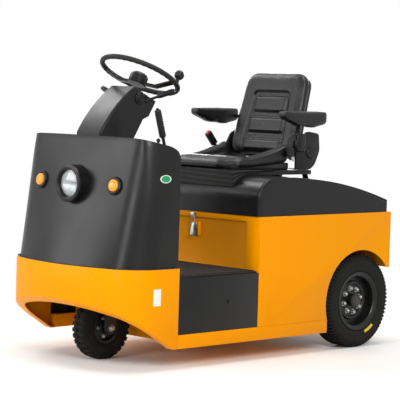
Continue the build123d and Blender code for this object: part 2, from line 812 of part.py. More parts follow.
# Backrest: a shell behind a cushion, both leaning back, reclining on the bracket pins
back_lean = 15.6
back_setback = 3
back_drop = 20
back_rise = 425
back_cushion = 62
back_shell = 26
back_top_half = 205
back_corner_r = 50
back_front_x = seat_rear_x - back_setback
back_foot_z = recline_z - back_drop
back_plane = Plane(
    origin=(back_front_x, 0, back_foot_z),
    x_dir=(0, 1, 0),
    z_dir=(cos(radians(back_lean)), 0, sin(radians(back_lean))),
)
back_height = back_rise / cos(radians(back_lean))
back_outline = polygon(
    (-back_half, 0), (back_half, 0), (back_top_half, back_height), (-back_top_half, back_height)
)
back_tops = back_outline.vertices().sort_by(Axis.Y)[2:]
back_outline = fillet(back_tops, back_corner_r)


def back_layer(front, depth):
    """A layer of the backrest, measured backwards from its front face."""
    return extrude(back_plane * Pos(0, 0, -front) * back_outline, amount=-depth)


nodes["backrest_cushion"] = back_layer(0, back_cushion)
shell = back_layer(back_cushion + seat_gap, back_shell)
shell_lug = cross_rod(recline_x, -back_half, back_half, recline_z, 3 * recline_pin_d)
shell_lug -= back_layer(-recline_pin_d, back_cushion + recline_pin_d + seat_gap)
shell += shell_lug
shell -= cross_rod(recline_x, -half_width, half_width, recline_z, recline_pin_d + 2 * shaft_gap)

# Armrests: pads on pivots that stick out of the backrest shell
arm_y = 306
arm_width = 56
arm_reach = 160
arm_rise = 229
arm_tip_thick = 26
arm_root_thick = 67
# Underside of a pad: step behind its tip, depth below its top
arm_belly = [(105, 78), (214, 91)]
arm_pivot_drop = 45
arm_pivot_d = 18
arm_tip_x = seat_rear_x + arm_reach
arm_top_z = cushion_top_z + arm_rise
arm_pivot_z = arm_top_z - arm_pivot_drop
arm_boss_d = 44
arm_lean = (arm_pivot_z - back_foot_z) * tan(radians(back_lean))
arm_pivot_x = back_front_x - arm_lean - back_cushion - back_shell / 2
arm_root_x = arm_pivot_x - arm_boss_d / 2
arm_inner_y = arm_y - arm_width / 2
shell += cross_rod(arm_pivot_x, -arm_y, arm_y, arm_pivot_z, arm_pivot_d) - back_layer(
    -half_width, half_width + back_cushion + seat_gap
)
nodes["backrest_shell"] = shell
arm_outline = polygon(
    (arm_root_x, arm_top_z),
    (arm_tip_x, arm_top_z),
    (arm_tip_x, arm_top_z - arm_tip_thick),
    *((arm_tip_x - step, arm_top_z - depth) for step, depth in arm_belly),
    (arm_root_x, arm_top_z - arm_root_thick),
)
arm = side_slab(arm_outline, arm_inner_y, arm_inner_y + arm_width)
arm = fillet(arm.edges(), arm_tip_thick / 4)
arm -= cross_rod(arm_pivot_x, 0, arm_y + shaft_gap, arm_pivot_z, arm_pivot_d + 2 * shaft_gap)
nodes["left_armrest"] = arm
nodes["right_armrest"] = right_copy(arm)

# Steered front wheel in its fork
fork_gap = 12
leg_thick = 14
leg_width = 60
crown_gap = 14
crown_height = 36
crown_half = 45
fork_inner = front_tyre_w / 2 + fork_gap
fork_outer = fork_inner + leg_thick
crown_z = front_tyre_d + crown_gap
crown_rear_x = front_axle_x - crown_half
crown_front_x = front_axle_x + crown_half
fork = block(crown_rear_x, crown_front_x, -fork_outer, fork_outer, crown_z, crown_z + crown_height)
for y0 in (-fork_outer, fork_inner):
    fork += block(
        front_axle_x - leg_width / 2,
        front_axle_x + leg_width / 2,
        y0,
        y0 + leg_thick,
        front_axle_z,
        crown_z,
    )
    fork += cross_rod(front_axle_x, y0, y0 + leg_thick, front_axle_z, leg_width)
bearing_r = 55
bearing_foot = crown_z + crown_height
fork += Pos(front_axle_x, 0, (bearing_foot + head_z - seat_gap) / 2) * Cylinder(
    bearing_r, head_z - seat_gap - bearing_foot
)
fork += Pos(front_axle_x, 0, (bearing_foot + floor_under_z - seat_gap) / 2) * Cylinder(
    king_pin_d / 2, floor_under_z - seat_gap - bearing_foot
)
fork += cross_rod(front_axle_x, -fork_outer, fork_outer, front_axle_z, front_shaft_d)
nodes["steering_fork"] = fork


def revolved(points):
    """A turned piece, from a half section given as radius and place along the axle."""
    return revolve(polygon(*points), Axis.Y)


rim_share = 0.8
inner_hub_share = 0.7
# Half section of a tyre: share of the wall's height, share of the half width
tyre_shares = [(0, rim_share), (0.5, 1), (0.85, 0.94), (1, 0.72)]
# Grooves between the lugs, as shares of a lug's pitch, the half width and the wall's height
groove_fill = 0.44
groove_place = 0.69
groove_length = 0.68
groove_drop = 0.17
groove_height = 0.4
groove_slope = 29


def tyre(outside_d, width, rim_r, lugs):
    """A tyre of flat facets with slanted grooves on both shoulders, from the rim to the lugs' tips."""
    wall = outside_d / 2 - rim_r
    half = width / 2
    pitch = 2 * pi / lugs
    near = [(rim_r + high * wall, wide * half) for high, wide in tyre_shares]
    rings = near + [(radius, -place) for radius, place in reversed(near)]

    def corner(ring, k):
        reach = ring[0] / cos(pitch / 2)
        return (reach * sin((k + 0.5) * pitch), ring[1], reach * cos((k + 0.5) * pitch))

    facets = []
    for here, there in zip(rings, rings[1:] + rings[:1]):
        for k in range(lugs):
            near_side = corner(here, k), corner(here, k + 1)
            facets.append(polygon(*near_side, corner(there, k + 1), corner(there, k)))
    groove = Pos(0, 0, groove_height * wall / 2) * Box(
        groove_fill * pitch * outside_d / 2, groove_length * half, groove_height * wall
    )
    grooves = []
    for side in (1, -1):
        shoulder = Pos(0, side * groove_place * half, outside_d / 2 - groove_drop * wall)
        slanted = shoulder * Rot(-side * groove_slope, 0, 0) * groove
        grooves += [Rot(0, 360 * (k + side / 4) / lugs, 0) * slanted for k in range(lugs)]
    return Solid(Shell(facets)) - grooves


front_bore_r = front_shaft_d / 2 + shaft_gap
front_hub_r = front_shaft_d / 2 + hub_thick
front_half = front_tyre_w / 2
front_rim = revolved(
    [
        (front_bore_r, -front_half),
        (front_hub_r, -front_half),
        (front_hub_r, -rim_thick / 2),
        (front_rim_r - rim_thick, -rim_thick / 2),
        (front_rim_r - rim_thick, -rim_share * front_half),
        (front_rim_r - seat_gap, -rim_share * front_half),
        (front_rim_r - seat_gap, rim_share * front_half),
        (front_rim_r - rim_thick, rim_share * front_half),
        (front_rim_r - rim_thick, rim_thick / 2),
        (front_hub_r, rim_thick / 2),
        (front_hub_r, front_half),
        (front_bore_r, front_half),
    ]
)
front_seat = Pos(front_axle_x, 0, front_axle_z)
nodes["front_rim"] = front_seat * front_rim
nodes["front_tyre"] = front_seat * tyre(front_tyre_d, front_tyre_w, front_rim_r, front_lugs)

# Driven rear wheels on the axle stubs
rear_bore_r = rear_stub_d / 2 + shaft_gap
rear_hub_r = rear_stub_d / 2 + hub_thick
rear_half = rear_tyre_w / 2
hub_end = rear_tyre_w / 4 + hub_thick
rear_rim = revolved(
    [
        (rear_bore_r, -inner_hub_share * rear_half),
        (rear_hub_r, -inner_hub_share * rear_half),
        (rear_hub_r, 0),
        (rear_rim_r - rim_thick, 0),
        (rear_rim_r - rim_thick, -rim_share * rear_half),
        (rear_rim_r - seat_gap, -rim_share * rear_half),
        (rear_rim_r - seat_gap, rim_share * rear_half),
        (rear_rim_r - rim_thick, rim_share * rear_half),
        (rear_rim_r - rim_thick, rim_thick),
        (rear_hub_r, rim_thick),
        (rear_hub_r, hub_end),
        (0, hub_end),
        (0, rear_tyre_w / 4 + seat_gap),
        (rear_bore_r, rear_tyre_w / 4 + seat_gap),
    ]
)
left_seat = Pos(rear_axle_x, rear_wheel_y, rear_axle_z)
nodes["left_rear_rim"] = left_seat * rear_rim
nodes["left_rear_tyre"] = left_seat * tyre(rear_tyre_d, rear_tyre_w, rear_rim_r, rear_lugs)
for name in ("rear_rim", "rear_tyre"):
    nodes["right_" + name] = right_copy(nodes["left_" + name])

os.makedirs("parts", exist_ok=True)
for name, piece in nodes.items():
    export_step(piece, f"parts/{name}.step")
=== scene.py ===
# %% [markdown]
# # An electric tow tractor
# A small three-wheeled tractor that pulls trolleys through a warehouse. The solids of all its pieces
# are already made, with their real sizes and joints. This lesson dresses them: it adds the finishes,
# the soft seat, the rubber and glass, and the small fittings that a plain solid doesn't show.

import math

import bmesh
import bpy
from mathutils import Matrix, Vector


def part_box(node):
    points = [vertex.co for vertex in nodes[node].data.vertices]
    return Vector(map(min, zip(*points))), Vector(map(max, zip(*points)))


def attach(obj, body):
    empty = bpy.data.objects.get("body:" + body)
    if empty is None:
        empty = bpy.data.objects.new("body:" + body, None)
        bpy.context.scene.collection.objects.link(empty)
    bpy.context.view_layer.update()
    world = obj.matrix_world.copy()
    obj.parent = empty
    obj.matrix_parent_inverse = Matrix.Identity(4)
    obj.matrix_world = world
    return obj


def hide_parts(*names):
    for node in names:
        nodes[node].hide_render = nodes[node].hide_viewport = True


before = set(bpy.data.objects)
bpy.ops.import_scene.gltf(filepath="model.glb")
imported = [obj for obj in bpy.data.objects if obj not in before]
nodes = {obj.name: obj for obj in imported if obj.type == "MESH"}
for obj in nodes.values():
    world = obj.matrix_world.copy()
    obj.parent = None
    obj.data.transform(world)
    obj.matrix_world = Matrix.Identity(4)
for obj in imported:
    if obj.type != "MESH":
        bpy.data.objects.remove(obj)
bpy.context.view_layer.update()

# %% [markdown]
# ## Camera
# The picture was taken from in front of the tractor and to its left, from about chest height and far away
# with a long lens. A camera can be placed by hand, but a viewing direction, a distance and a
# target are easier to read and to correct, so the camera's three axes are worked out from those.

# %% Camera at the picture's viewing angle
view_azimuth = math.radians(45.49)
view_elevation = math.radians(3.56)
view_roll = math.radians(1.70)
view_target = Vector((0.0478, 0, 0.7283))
view_distance = 8.692
lens_mm = 160.45
frame_shift = -0.0018

back = Vector((math.cos(view_azimuth), math.sin(view_azimuth), math.tan(view_elevation))).normalized()
level = Vector((-math.sin(view_azimuth), math.cos(view_azimuth), 0))
upright = back.cross(level)
right = level * math.cos(view_roll) + upright * math.sin(view_roll)
upward = upright * math.cos(view_roll) - level * math.sin(view_roll)

bpy.ops.object.camera_add()
camera = bpy.context.object
camera.data.lens = lens_mm
camera.data.shift_y = frame_shift
axes = Matrix((right, upward, back)).transposed().to_4x4()
camera.matrix_world = Matrix.Translation(view_target + back * view_distance) @ axes
bpy.context.scene.camera = camera
print("camera at", [round(value, 2) for value in camera.location])

# %% [markdown]
# ## Floor and light
# The picture has a white studio: soft light from above and from the left of the tractor, and a
# floor that fades into the background. Large area lamps give soft shadows and the broad, quiet
# reflections that show the curve of the black hood. The world is white where the camera or a
# reflection sees it, and dimmer as a light, so that colours render as they are written.


# %% Two helpers: colours from hex values, and nodes
def linear(hex_colour):
    """An sRGB hex colour as the linear values that Blender works with."""
    shades = [int(hex_colour[i : i + 2], 16) / 255 for i in (1, 3, 5)]
    return [s / 12.92 if s <= 0.04045 else ((s + 0.055) / 1.055) ** 2.4 for s in shades] + [1]


def connect(tree, made, inputs):
    """Sets a node's inputs, by name or number: a socket is linked, anything else is its value."""
    for name, value in inputs.items():
        if isinstance(value, bpy.types.NodeSocket):
            tree.links.new(value, made.inputs[name])
        else:
            made.inputs[name].default_value = value


def node(tree, kind, settings={}, inputs={}):
    """Adds a node with its settings, and connects its inputs."""
    made = tree.nodes.new(kind)
    for name, value in settings.items():
        setattr(made, name, value)
    connect(tree, made, inputs)
    return made


# %% White world, dimmer as a light
scene = bpy.context.scene
scene.view_settings.view_transform = "Standard"
world_light = 0.32
scene.world = bpy.data.worlds.new("studio")
scene.world.use_nodes = True
sky = scene.world.node_tree
sky.nodes.clear()
path = node(sky, "ShaderNodeLightPath")
bent = {0: path.outputs["Is Glossy Ray"], 1: path.outputs["Is Transmission Ray"]}
bent = node(sky, "ShaderNodeMath", {"operation": "MAXIMUM"}, bent).outputs[0]
seen = node(sky, "ShaderNodeMath", {"operation": "MAXIMUM"}, {0: path.outputs["Is Camera Ray"], 1: bent})
light = node(sky, "ShaderNodeBackground", {}, {"Color": linear("#FFFFFF"), "Strength": world_light})
backdrop = node(sky, "ShaderNodeBackground", {}, {"Color": linear("#FFFFFF"), "Strength": 1})
choice = {0: seen.outputs[0], 1: light.outputs[0], 2: backdrop.outputs[0]}
mixed = node(sky, "ShaderNodeMixShader", {}, choice)
node(sky, "ShaderNodeOutputWorld", {}, {"Surface": mixed.outputs[0]})
print("world lights at", world_light)

# %% Studio floor
floor_size, fade_start, fade_end = 60, 0.9, 2.2
bpy.ops.object.select_all(action="DESELECT")
bpy.ops.mesh.primitive_plane_add(size=floor_size)
floor = bpy.context.object
floor.name = "studio_floor"
paper = bpy.data.materials.new("studio_paper")
paper.use_nodes = True
tree = paper.node_tree
sheet = tree.nodes["Principled BSDF"]
connect(tree, sheet, {"Base Color": linear("#F6F6F4"), "Roughness": 0.9, "Specular IOR Level": 0})
spot = node(tree, "ShaderNodeTexCoord").outputs["Object"]
reach = node(tree, "ShaderNodeVectorMath", {"operation": "LENGTH"}, {0: spot}).outputs["Value"]
ends = {0: reach, 1: fade_start, 2: fade_end}
fade = node(tree, "ShaderNodeMapRange", {"interpolation_type": "SMOOTHSTEP"}, ends).outputs[0]
white = node(tree, "ShaderNodeEmission", {}, {"Color": linear("#FFFFFF"), "Strength": 1})
mixed = node(tree, "ShaderNodeMixShader", {}, {0: fade, 1: sheet.outputs[0], 2: white.outputs[0]})
connect(tree, tree.nodes["Material Output"], {"Surface": mixed.outputs[0]})
floor.data.materials.append(paper)
print("floor fades to white from", fade_start, "to", fade_end, "m")

# %% Lamps: each with its place, its width and height in metres, and its watts
lamps = [
    ("key", (3.6, 6.4, 4.4), (2.4, 2.8), 350),
    ("corner_strip", (7.7, 1.2, 3.2), (1.7, 3.4), 190),
    ("front_box", (6.2, -4.4, 2.6), (4.0, 3.6), 195),
    ("right_box", (0.6, -5.2, 5.6), (2.6, 2.6), 150),
    ("back_strip", (-5.0, -5.0, 1.9), (5.0, 2.0), 260),
    ("overhead", (-0.4, 0.6, 5.0), (3.0, 2.0), 100),
]
for lamp_name, spot, (wide, high), watts in lamps:
    bpy.ops.object.light_add(type="AREA", location=spot)
    lamp = bpy.context.object
    lamp.name = lamp_name
    lamp.data.shape = "RECTANGLE"
    lamp.data.size = wide
    lamp.data.size_y = high
    lamp.data.energy = watts
    lamp.rotation_euler = (view_target - Vector(spot)).to_track_quat("-Z", "Y").to_euler()
print(len(lamps), "lamps")

# %% [markdown]
# ## Finishes
# Each finish starts from the real material: how it was made decides its gloss and its grain. Patterns
# are measured in millimetres on the piece itself, so that they keep their scale on every piece.


# %% A finish to start from
def start_finish(name, colour, roughness, specular=0.5, **values):
    """A new material: itself, its node tree, its shader and the place on the piece in metres."""
    made = bpy.data.materials.new(name)
    made.use_nodes = True
    tree = made.node_tree
    shader = tree.nodes["Principled BSDF"]
    even = {"Base Color": linear(colour), "Roughness": roughness, "Specular IOR Level": specular}
    connect(tree, shader, {**even, **values})
    print("finish", name)
    return made, tree, shader, node(tree, "ShaderNodeTexCoord").outputs["Object"]


def per_mm(size):
    """A texture's scale for features of that size in millimetres."""
    return 1000 / size


# %% What most finishes share: clouds of tone, and a fine grain
# Sockets 6 and 7 of a colour mix are its two colours. Sockets 1 to 4 of a range are the ends that it reads
# and the ends that it gives. A cloud's own values run from about 0.3 to 0.7.
def clouded(name, size, detail, dark, bright, shine, specular=0.5, span=(0.3, 0.7), **values):
    """A finish with clouds of a size in mm between two colours, and one roughness or a pair to span."""
    even = shine if isinstance(shine, float) else shine[0]
    made, tree, shader, place = start_finish(name, bright, even, specular, **values)
    noise = {"Vector": place, "Scale": per_mm(size), "Detail": detail}
    cloud = node(tree, "ShaderNodeTexNoise", {}, noise).outputs[0]
    tone = {0: cloud, 6: linear(dark), 7: linear(bright)}
    paint = node(tree, "ShaderNodeMix", {"data_type": "RGBA"}, tone).outputs[2]
    connect(tree, shader, {"Base Color": paint})
    if even != shine:
        ends = {0: cloud, 1: span[0], 2: span[1], 3: shine[0], 4: shine[1]}
        connect(tree, shader, {"Roughness": node(tree, "ShaderNodeMapRange", {}, ends).outputs[0]})
    return made, tree, shader, place


def grained(tree, shader, place, size, detail, strength, depth):
    """A fine relief with grains of a size in mm and a depth in metres."""
    noise = {"Vector": place, "Scale": per_mm(size), "Detail": detail}
    grit = node(tree, "ShaderNodeTexNoise", {}, noise).outputs[0]
    skin = node(tree, "ShaderNodeBump", {}, {"Height": grit, "Strength": strength, "Distance": depth})
    connect(tree, shader, {"Normal": skin.outputs[0]})


# %% Orange gloss enamel on sheet steel
# Stoved enamel: a clear gloss, a faint orange peel of 3 mm, and painted shade that darkens it in clouds
# towards the ground.
clean_orange, shaded_orange = "#EE9500", "#CB7B05"
shade_foot, shade_top, shade_most = 0.1, 0.42, 0.5
orange_enamel, tree, shader, place = start_finish("orange_gloss_enamel", clean_orange, 0.34, 0.05, IOR=1.5)
height = node(tree, "ShaderNodeSeparateXYZ", {}, {0: place}).outputs["Z"]
ends = {0: height, 1: shade_foot, 2: shade_top, 3: shade_most, 4: 0.0}
low = node(tree, "ShaderNodeMapRange", {}, ends).outputs[0]
noise = {"Vector": place, "Scale": per_mm(140), "Detail": 4}
cloud = node(tree, "ShaderNodeTexNoise", {}, noise).outputs[0]
# Painted shade: a darker orange mixed in towards the ground, broken into clouds.
painted_shade = node(tree, "ShaderNodeMath", {"operation": "MULTIPLY"}, {0: low, 1: cloud}).outputs[0]
tone = {0: painted_shade, 6: linear(clean_orange), 7: linear(shaded_orange)}
paint = node(tree, "ShaderNodeMix", {"data_type": "RGBA"}, tone).outputs[2]
gloss = node(tree, "ShaderNodeMapRange", {}, {0: cloud, 1: 0.3, 2: 0.7, 3: 0.24, 4: 0.36}).outputs[0]
connect(tree, shader, {"Base Color": paint, "Roughness": gloss})
grained(tree, shader, place, 3, 2, 0.12, 0.0004)

# %% Satin black powder coat
# Baked powder: an even black with a soft, broad shine and a very fine texture, drawn at 2 mm to show at all.
satin_black, tree, shader, place = clouded(
    "satin_black_powder_coat", 180, 3, "#0F0F0F", "#171716", (0.27, 0.36), 0.25
)
grained(tree, shader, place, 2, 1, 0.1, 0.0003)

# %% Moulded black plastic
# Polypropylene from a textured mould: charcoal, half matt, with a pebble grain of about 1.5 mm, and
# paler in clouds of about 90 mm.
moulded_black, tree, shader, place = clouded(
    "moulded_black_plastic", 90, 5, "#0D0D0D", "#161615", (0.26, 0.36), 0.25, IOR=1.49
)
pebble = node(tree, "ShaderNodeTexVoronoi", {"feature": "SMOOTH_F1"}, {"Vector": place, "Scale": per_mm(1.5)})
skin = node(tree, "ShaderNodeBump", {}, {"Height": pebble.outputs[0], "Strength": 0.15, "Distance": 0.0004})
connect(tree, shader, {"Normal": skin.outputs[0]})

# %% Grained black vinyl
# Coated cloth pressed with a leather grain: cells of about 2 mm with creases between them, a soft sheen.
grained_vinyl, tree, shader, place = clouded(
    "grained_black_vinyl", 60, 4, "#0B0B0B", "#131312", (0.26, 0.36), 0.32
)
grain = {"Vector": place, "Scale": per_mm(2.2)}
cells = node(tree, "ShaderNodeTexVoronoi", {"feature": "DISTANCE_TO_EDGE"}, grain)
crease = node(tree, "ShaderNodeMapRange", {}, {0: cells.outputs[0], 1: 0.0, 2: 0.12}).outputs[0]
skin = node(tree, "ShaderNodeBump", {}, {"Height": crease, "Strength": 0.25, "Distance": 0.0004})
connect(tree, shader, {"Normal": skin.outputs[0]})

# %% Tyre rubber, and the softer rubber of grips, pads, mats and seals
# Carbon black rubber: nearly no shine, greyed by dust, with a faint mould grain of 4 mm. The soft rubber is
# smoother: a deep grey with a low, even shine.
tyre_rubber, tree, shader, place = clouded("tyre_rubber", 45, 6, "#0F0F0E", "#1D1C1B", 0.85, 0.2, IOR=1.52)
grained(tree, shader, place, 4, 3, 0.3, 0.0006)
soft_rubber = clouded("soft_black_rubber", 30, 5, "#161616", "#262524", (0.52, 0.72), 0.25)[0]

# %% Black rim enamel
# Sprayed gloss black over pressed steel, dusty in clouds.
rim_enamel = clouded("black_rim_enamel", 35, 5, "#0B0B0B", "#171616", (0.28, 0.5), 0.3, (0.35, 0.65))[0]

# %% Zinc-plated steel
# Electroplated fasteners and latches: a cool grey metal, clouded by passivation.
zinc_plate = clouded("zinc_plated_steel", 12, 4, "#9C9D9C", "#C9C9C4", (0.26, 0.44), Metallic=1)[0]

# %% Painted castings
# Sand-cast iron under black paint: a grain of about 3 mm shows through.
cast_black, tree, shader, place = clouded("black_painted_casting", 60, 4, "#1C1C1B", "#302E2C", 0.6)
grained(tree, shader, place, 3, 4, 0.4, 0.0008)

# %% Lamp glass and lamp plastics
# Pressed clear glass over a bright reflector, and two dyed acrylics that let a little light through.
lamp_glass, tree, shader, place = start_finish("pressed_lamp_glass", "#F3F6F6", 0.06, IOR=1.5)
connect(tree, shader, {"Transmission Weight": 0.92})
grained(tree, shader, place, 14, 2, 0.08, 0.0006)

reflector_metal, tree, shader, place = start_finish("vacuum_coated_reflector", "#E9EAE8", 0.16, Metallic=1)
haze = node(tree, "ShaderNodeTexNoise", {}, {"Vector": place, "Scale": per_mm(20), "Detail": 3}).outputs[0]
gloss = node(tree, "ShaderNodeMapRange", {}, {0: haze, 1: 0.3, 2: 0.7, 3: 0.1, 4: 0.24}).outputs[0]
connect(tree, shader, {"Roughness": gloss})

lens_plastics = {}
for lens_name, dark, bright in (("amber", "#F08C0A", "#FFB42E"), ("red", "#8E0B0B", "#C61A12")):
    made, tree, shader, place = clouded(lens_name + "_acrylic_lens", 18, 2, dark, bright, 0.12, IOR=1.49)
    connect(tree, shader, {"Transmission Weight": 0.15})
    lens_plastics[lens_name] = made

# %% Plain inks and webbing
# Plain printed vinyl labels, a red button, a yellow paint bar, and woven belt webbing.
inks = {}
for ink_name, dark, bright, roughness in (
    ("white_label", "#D9D9D4", "#ECECE8", 0.5),
    ("green_label", "#0E7A45", "#17955A", 0.4),
    ("red_button", "#A3130F", "#C8221B", 0.35),
    ("yellow_mark", "#C9A310", "#E3BC1C", 0.7),
    ("dial_white", "#C9CBC9", "#DDDEDC", 0.3),
):
    inks[ink_name] = clouded(ink_name, 10, 4, dark, bright, roughness)[0]

webbing, tree, shader, place = start_finish("woven_belt_webbing", "#141414", 0.7)
thread = node(tree, "ShaderNodeTexWave", {"bands_direction": "DIAGONAL"},
    {"Vector": place, "Scale": per_mm(9)})
skin = node(tree, "ShaderNodeBump", {}, {"Height": thread.outputs[1], "Strength": 0.5, "Distance": 0.0006})
tone = {0: thread.outputs[1], 6: linear("#0F0F0F"), 7: linear("#1E1E1E")}
paint = node(tree, "ShaderNodeMix", {"data_type": "RGBA"}, tone).outputs[2]
connect(tree, shader, {"Base Color": paint, "Normal": skin.outputs[0], "Sheen Weight": 0.2})

# %% Battery case
# A welded steel tray with a thick grey acid-proof coat.
battery_coat = clouded("grey_battery_coat", 80, 5, "#3E4040", "#575958", 0.55)[0]

# %% The finish of each solid that stays as it is
finishes = [
    (orange_enamel, "chassis_frame nose_band left_side_panel right_side_panel front_panel rear_panel"),
    (satin_black,
        "step_panels hood dash_panel cowl_panel headlamp_housing seat_pan seat_brackets floor_plate"),
    (rim_enamel, "left_rear_rim right_rear_rim front_rim"),
    (moulded_black,
        "column_cover column_controls turn_lamp_bezels spinner_knob lid seat_base belt_retractor"),
    (moulded_black, "belt_buckle backrest_shell foot_pedals parking_brake_lever steering_wheel"),
    (grained_vinyl, "seat_cushion backrest_cushion left_armrest right_armrest"),
    (lamp_glass, "headlamp_lens"),
    (lens_plastics["amber"], "turn_lamp_lenses"),
    (lens_plastics["red"], "rear_lamps"),
    (zinc_plate, "lid_latch lid_hinges tow_pin"),
    (cast_black, "rear_axle drive_motor tow_hitch steering_fork"),
    (battery_coat, "battery_pack"),
    (tyre_rubber, "front_tyre left_rear_tyre right_rear_tyre"),
]
for finish, names in finishes:
    for name in names.split():
        for place_for in nodes[name].material_slots:
            place_for.material = finish
print(len(bpy.data.materials), "materials")

# %% [markdown]
# ## Tools of the workshop
# The pieces are modelled as by hand: a shape is added, drawn or spun, its edges are rounded, and it
# is given a finish and a body to ride on. These few helpers keep each piece short.


# %% Selecting, and finishing a piece
origin, across, up = Vector((0, 0, 0)), Vector((0, 1, 0)), Vector((0, 0, 1))
merge_gap = 0.00002


def only(piece):
    """Selects one piece and nothing else."""
    bpy.ops.object.select_all(action="DESELECT")
    piece.select_set(True)
    bpy.context.view_layer.objects.active = piece


def modify(piece, kind, **settings):
    """Adds a modifier and applies it."""
    only(piece)
    modifier = piece.modifiers.new(kind, kind)
    for name, value in settings.items():
        setattr(modifier, name, value)
    bpy.ops.object.modifier_apply(modifier=modifier.name)


def smooth(piece, sharp=40):
    """Shades a piece smoothly between its sharp edges."""
    only(piece)
    bpy.ops.object.shade_smooth_by_angle(angle=math.radians(sharp))
    return piece


def round_edges(piece, width, segments=2, sharp=35):
    """Rounds the sharp edges and smooths the shading between them."""
    limit = math.radians(sharp)
    modify(piece, "BEVEL", width=width, segments=segments, limit_method="ANGLE", angle_limit=limit)
    bpy.ops.object.shade_smooth_by_angle(angle=limit)
    return piece


def fit(piece, name, body, slot, finish, *stands_for):
    """Names a finished piece, gives it its finish and body, and hides the solids that it stands for."""
    print(name, "on", body + ":", len(piece.data.polygons), "faces")
    piece.name = name
    piece.data.name = name
    piece.data.materials.clear()
    piece.data.materials.append(finish)
    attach(piece, body)
    if stands_for:
        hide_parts(*stands_for)
    return piece


def copied(piece, change):
    """A copy with its own mesh, moved or turned by a matrix."""
    made = piece.copy()
    made.data = piece.data.copy()
    made.data.transform(change)
    bpy.context.collection.objects.link(made)
    return made


def joined(pieces):
    """Several pieces made into one mesh."""
    bpy.ops.object.select_all(action="DESELECT")
    for piece in pieces:
        piece.select_set(True)
    bpy.context.view_layer.objects.active = pieces[0]
    bpy.ops.object.join()
    return bpy.context.object


# %% Drawing: an outline from point to point, then filled or spun
def draw(points):
    """Draws a line by extruding one corner from point to point. Blender is left in edit mode."""
    bpy.ops.object.select_all(action="DESELECT")
    bpy.ops.mesh.primitive_plane_add(size=0.01, location=points[0])
    bpy.ops.object.transform_apply(location=True, rotation=False, scale=False)
    bpy.ops.object.mode_set(mode="EDIT")
    bpy.ops.mesh.select_all(action="SELECT")
    bpy.ops.mesh.merge(type="CENTER")
    for here, there in zip(points, points[1:]):
        bpy.ops.mesh.extrude_region_move(TRANSFORM_OT_translate={"value": Vector(there) - Vector(here)})
    bpy.ops.mesh.select_all(action="SELECT")
    return bpy.context.object


def close_up():
    """Merges doubles, turns all faces outwards and leaves edit mode."""
    bpy.ops.mesh.select_all(action="SELECT")
    bpy.ops.mesh.remove_doubles(threshold=merge_gap)
    bpy.ops.mesh.normals_make_consistent(inside=False)
    bpy.ops.object.mode_set(mode="OBJECT")
    return bpy.context.object


def mm(points):
    """Points that are written in millimetres, in metres."""
    return [(first / 1000, second / 1000) for first, second in points]


def plate(points, depth):
    """A closed outline, filled and extruded by the depth."""
    draw(points)
    bpy.ops.mesh.edge_face_add()
    bpy.ops.mesh.extrude_region_move(TRANSFORM_OT_translate={"value": depth})
    return close_up()


def rounded(corners, radius, steps=6):
    """The points of a closed outline in its plane, with its corners rounded."""
    points = []
    for i, corner in enumerate(corners):
        corner = Vector(corner)
        before = (Vector(corners[i - 1]) - corner).normalized() * radius + corner
        after = (Vector(corners[(i + 1) % len(corners)]) - corner).normalized() * radius + corner
        for step in range(steps + 1):
            share = step / steps
            points.append(before * (1 - share) ** 2 + corner * 2 * share * (1 - share) + after * share**2)
    return points


def turned(profile, centre, axis, steps=64):
    """A turned piece: a half section of radius and place along the axis, spun about it."""
    axis = Vector(axis).normalized()
    spoke = axis.orthogonal().normalized()
    draw([Vector(centre) + spoke * radius + axis * along for radius, along in profile])
    bpy.ops.mesh.spin(steps=steps, angle=2 * math.pi, center=centre, axis=axis)
    return close_up()


def bent_bar(points, radius, smooth=True, sides=4):
    """A round bar or tube that follows points, as a mesh."""
    line = bpy.data.curves.new("bar", "CURVE")
    line.dimensions = "3D"
    line.bevel_depth = radius
    line.bevel_resolution = sides
    line.use_fill_caps = True
    run = line.splines.new("NURBS" if smooth else "POLY")
    run.points.add(len(points) - 1)
    for spot, point in zip(run.points, points):
        spot.co = (*point, 1)
    if smooth:
        run.order_u = 3
        run.use_endpoint_u = True
        run.resolution_u = 8
    piece = bpy.data.objects.new("bar", line)
    bpy.context.collection.objects.link(piece)
    only(piece)
    bpy.ops.object.convert(target="MESH")
    bpy.ops.object.shade_smooth_by_angle(angle=math.radians(50))
    return bpy.context.object


def slab(low, high):
    """A block between two corners, with its place in its mesh."""
    low, high = Vector(low), Vector(high)
    bpy.ops.object.select_all(action="DESELECT")
    bpy.ops.mesh.primitive_cube_add(size=1, location=(low + high) / 2)
    bpy.context.object.scale = high - low
    bpy.ops.object.transform_apply(location=True, rotation=True, scale=True)
    return bpy.context.object


def ring_of(piece, count, centre, axis, first=0):
    """The piece repeated round an axis, all in one mesh."""
    turns = []
    for i in range(count):
        spin = Matrix.Rotation(math.radians(first) + 2 * math.pi * i / count, 4, axis)
        turns.append(copied(piece, Matrix.Translation(centre) @ spin @ Matrix.Translation(-Vector(centre))))
    bpy.data.objects.remove(piece)
    return joined(turns)


def nut(spot, axis, across, height):
    """A hexagon nut or bolt head with its washer, standing on a surface."""
    axis = Vector(axis).normalized()
    turn = axis.to_track_quat("Z", "Y").to_matrix().to_4x4()
    bpy.ops.object.select_all(action="DESELECT")
    bpy.ops.mesh.primitive_cylinder_add(vertices=6, radius=across / 2, depth=height)
    hexagon = bpy.context.object
    hexagon.data.transform(Matrix.Translation((0, 0, height / 2 + 0.0015)))
    round_edges(hexagon, across / 14, 1)
    reach = across / 2
    washer = [(0, 0), (reach * 1.25, 0), (reach * 1.25, 0.0016), (reach * 0.6, 0.0018)]
    stud = [(reach * 0.5, 0.001), (reach * 0.5, height * 1.3), (reach * 0.4, height * 1.4), (0, height * 1.4)]
    piece = joined([hexagon, turned(washer, origin, up, 20), turned(stud, origin, up, 12)])
    piece.data.transform(Matrix.Translation(spot) @ turn)
    return piece


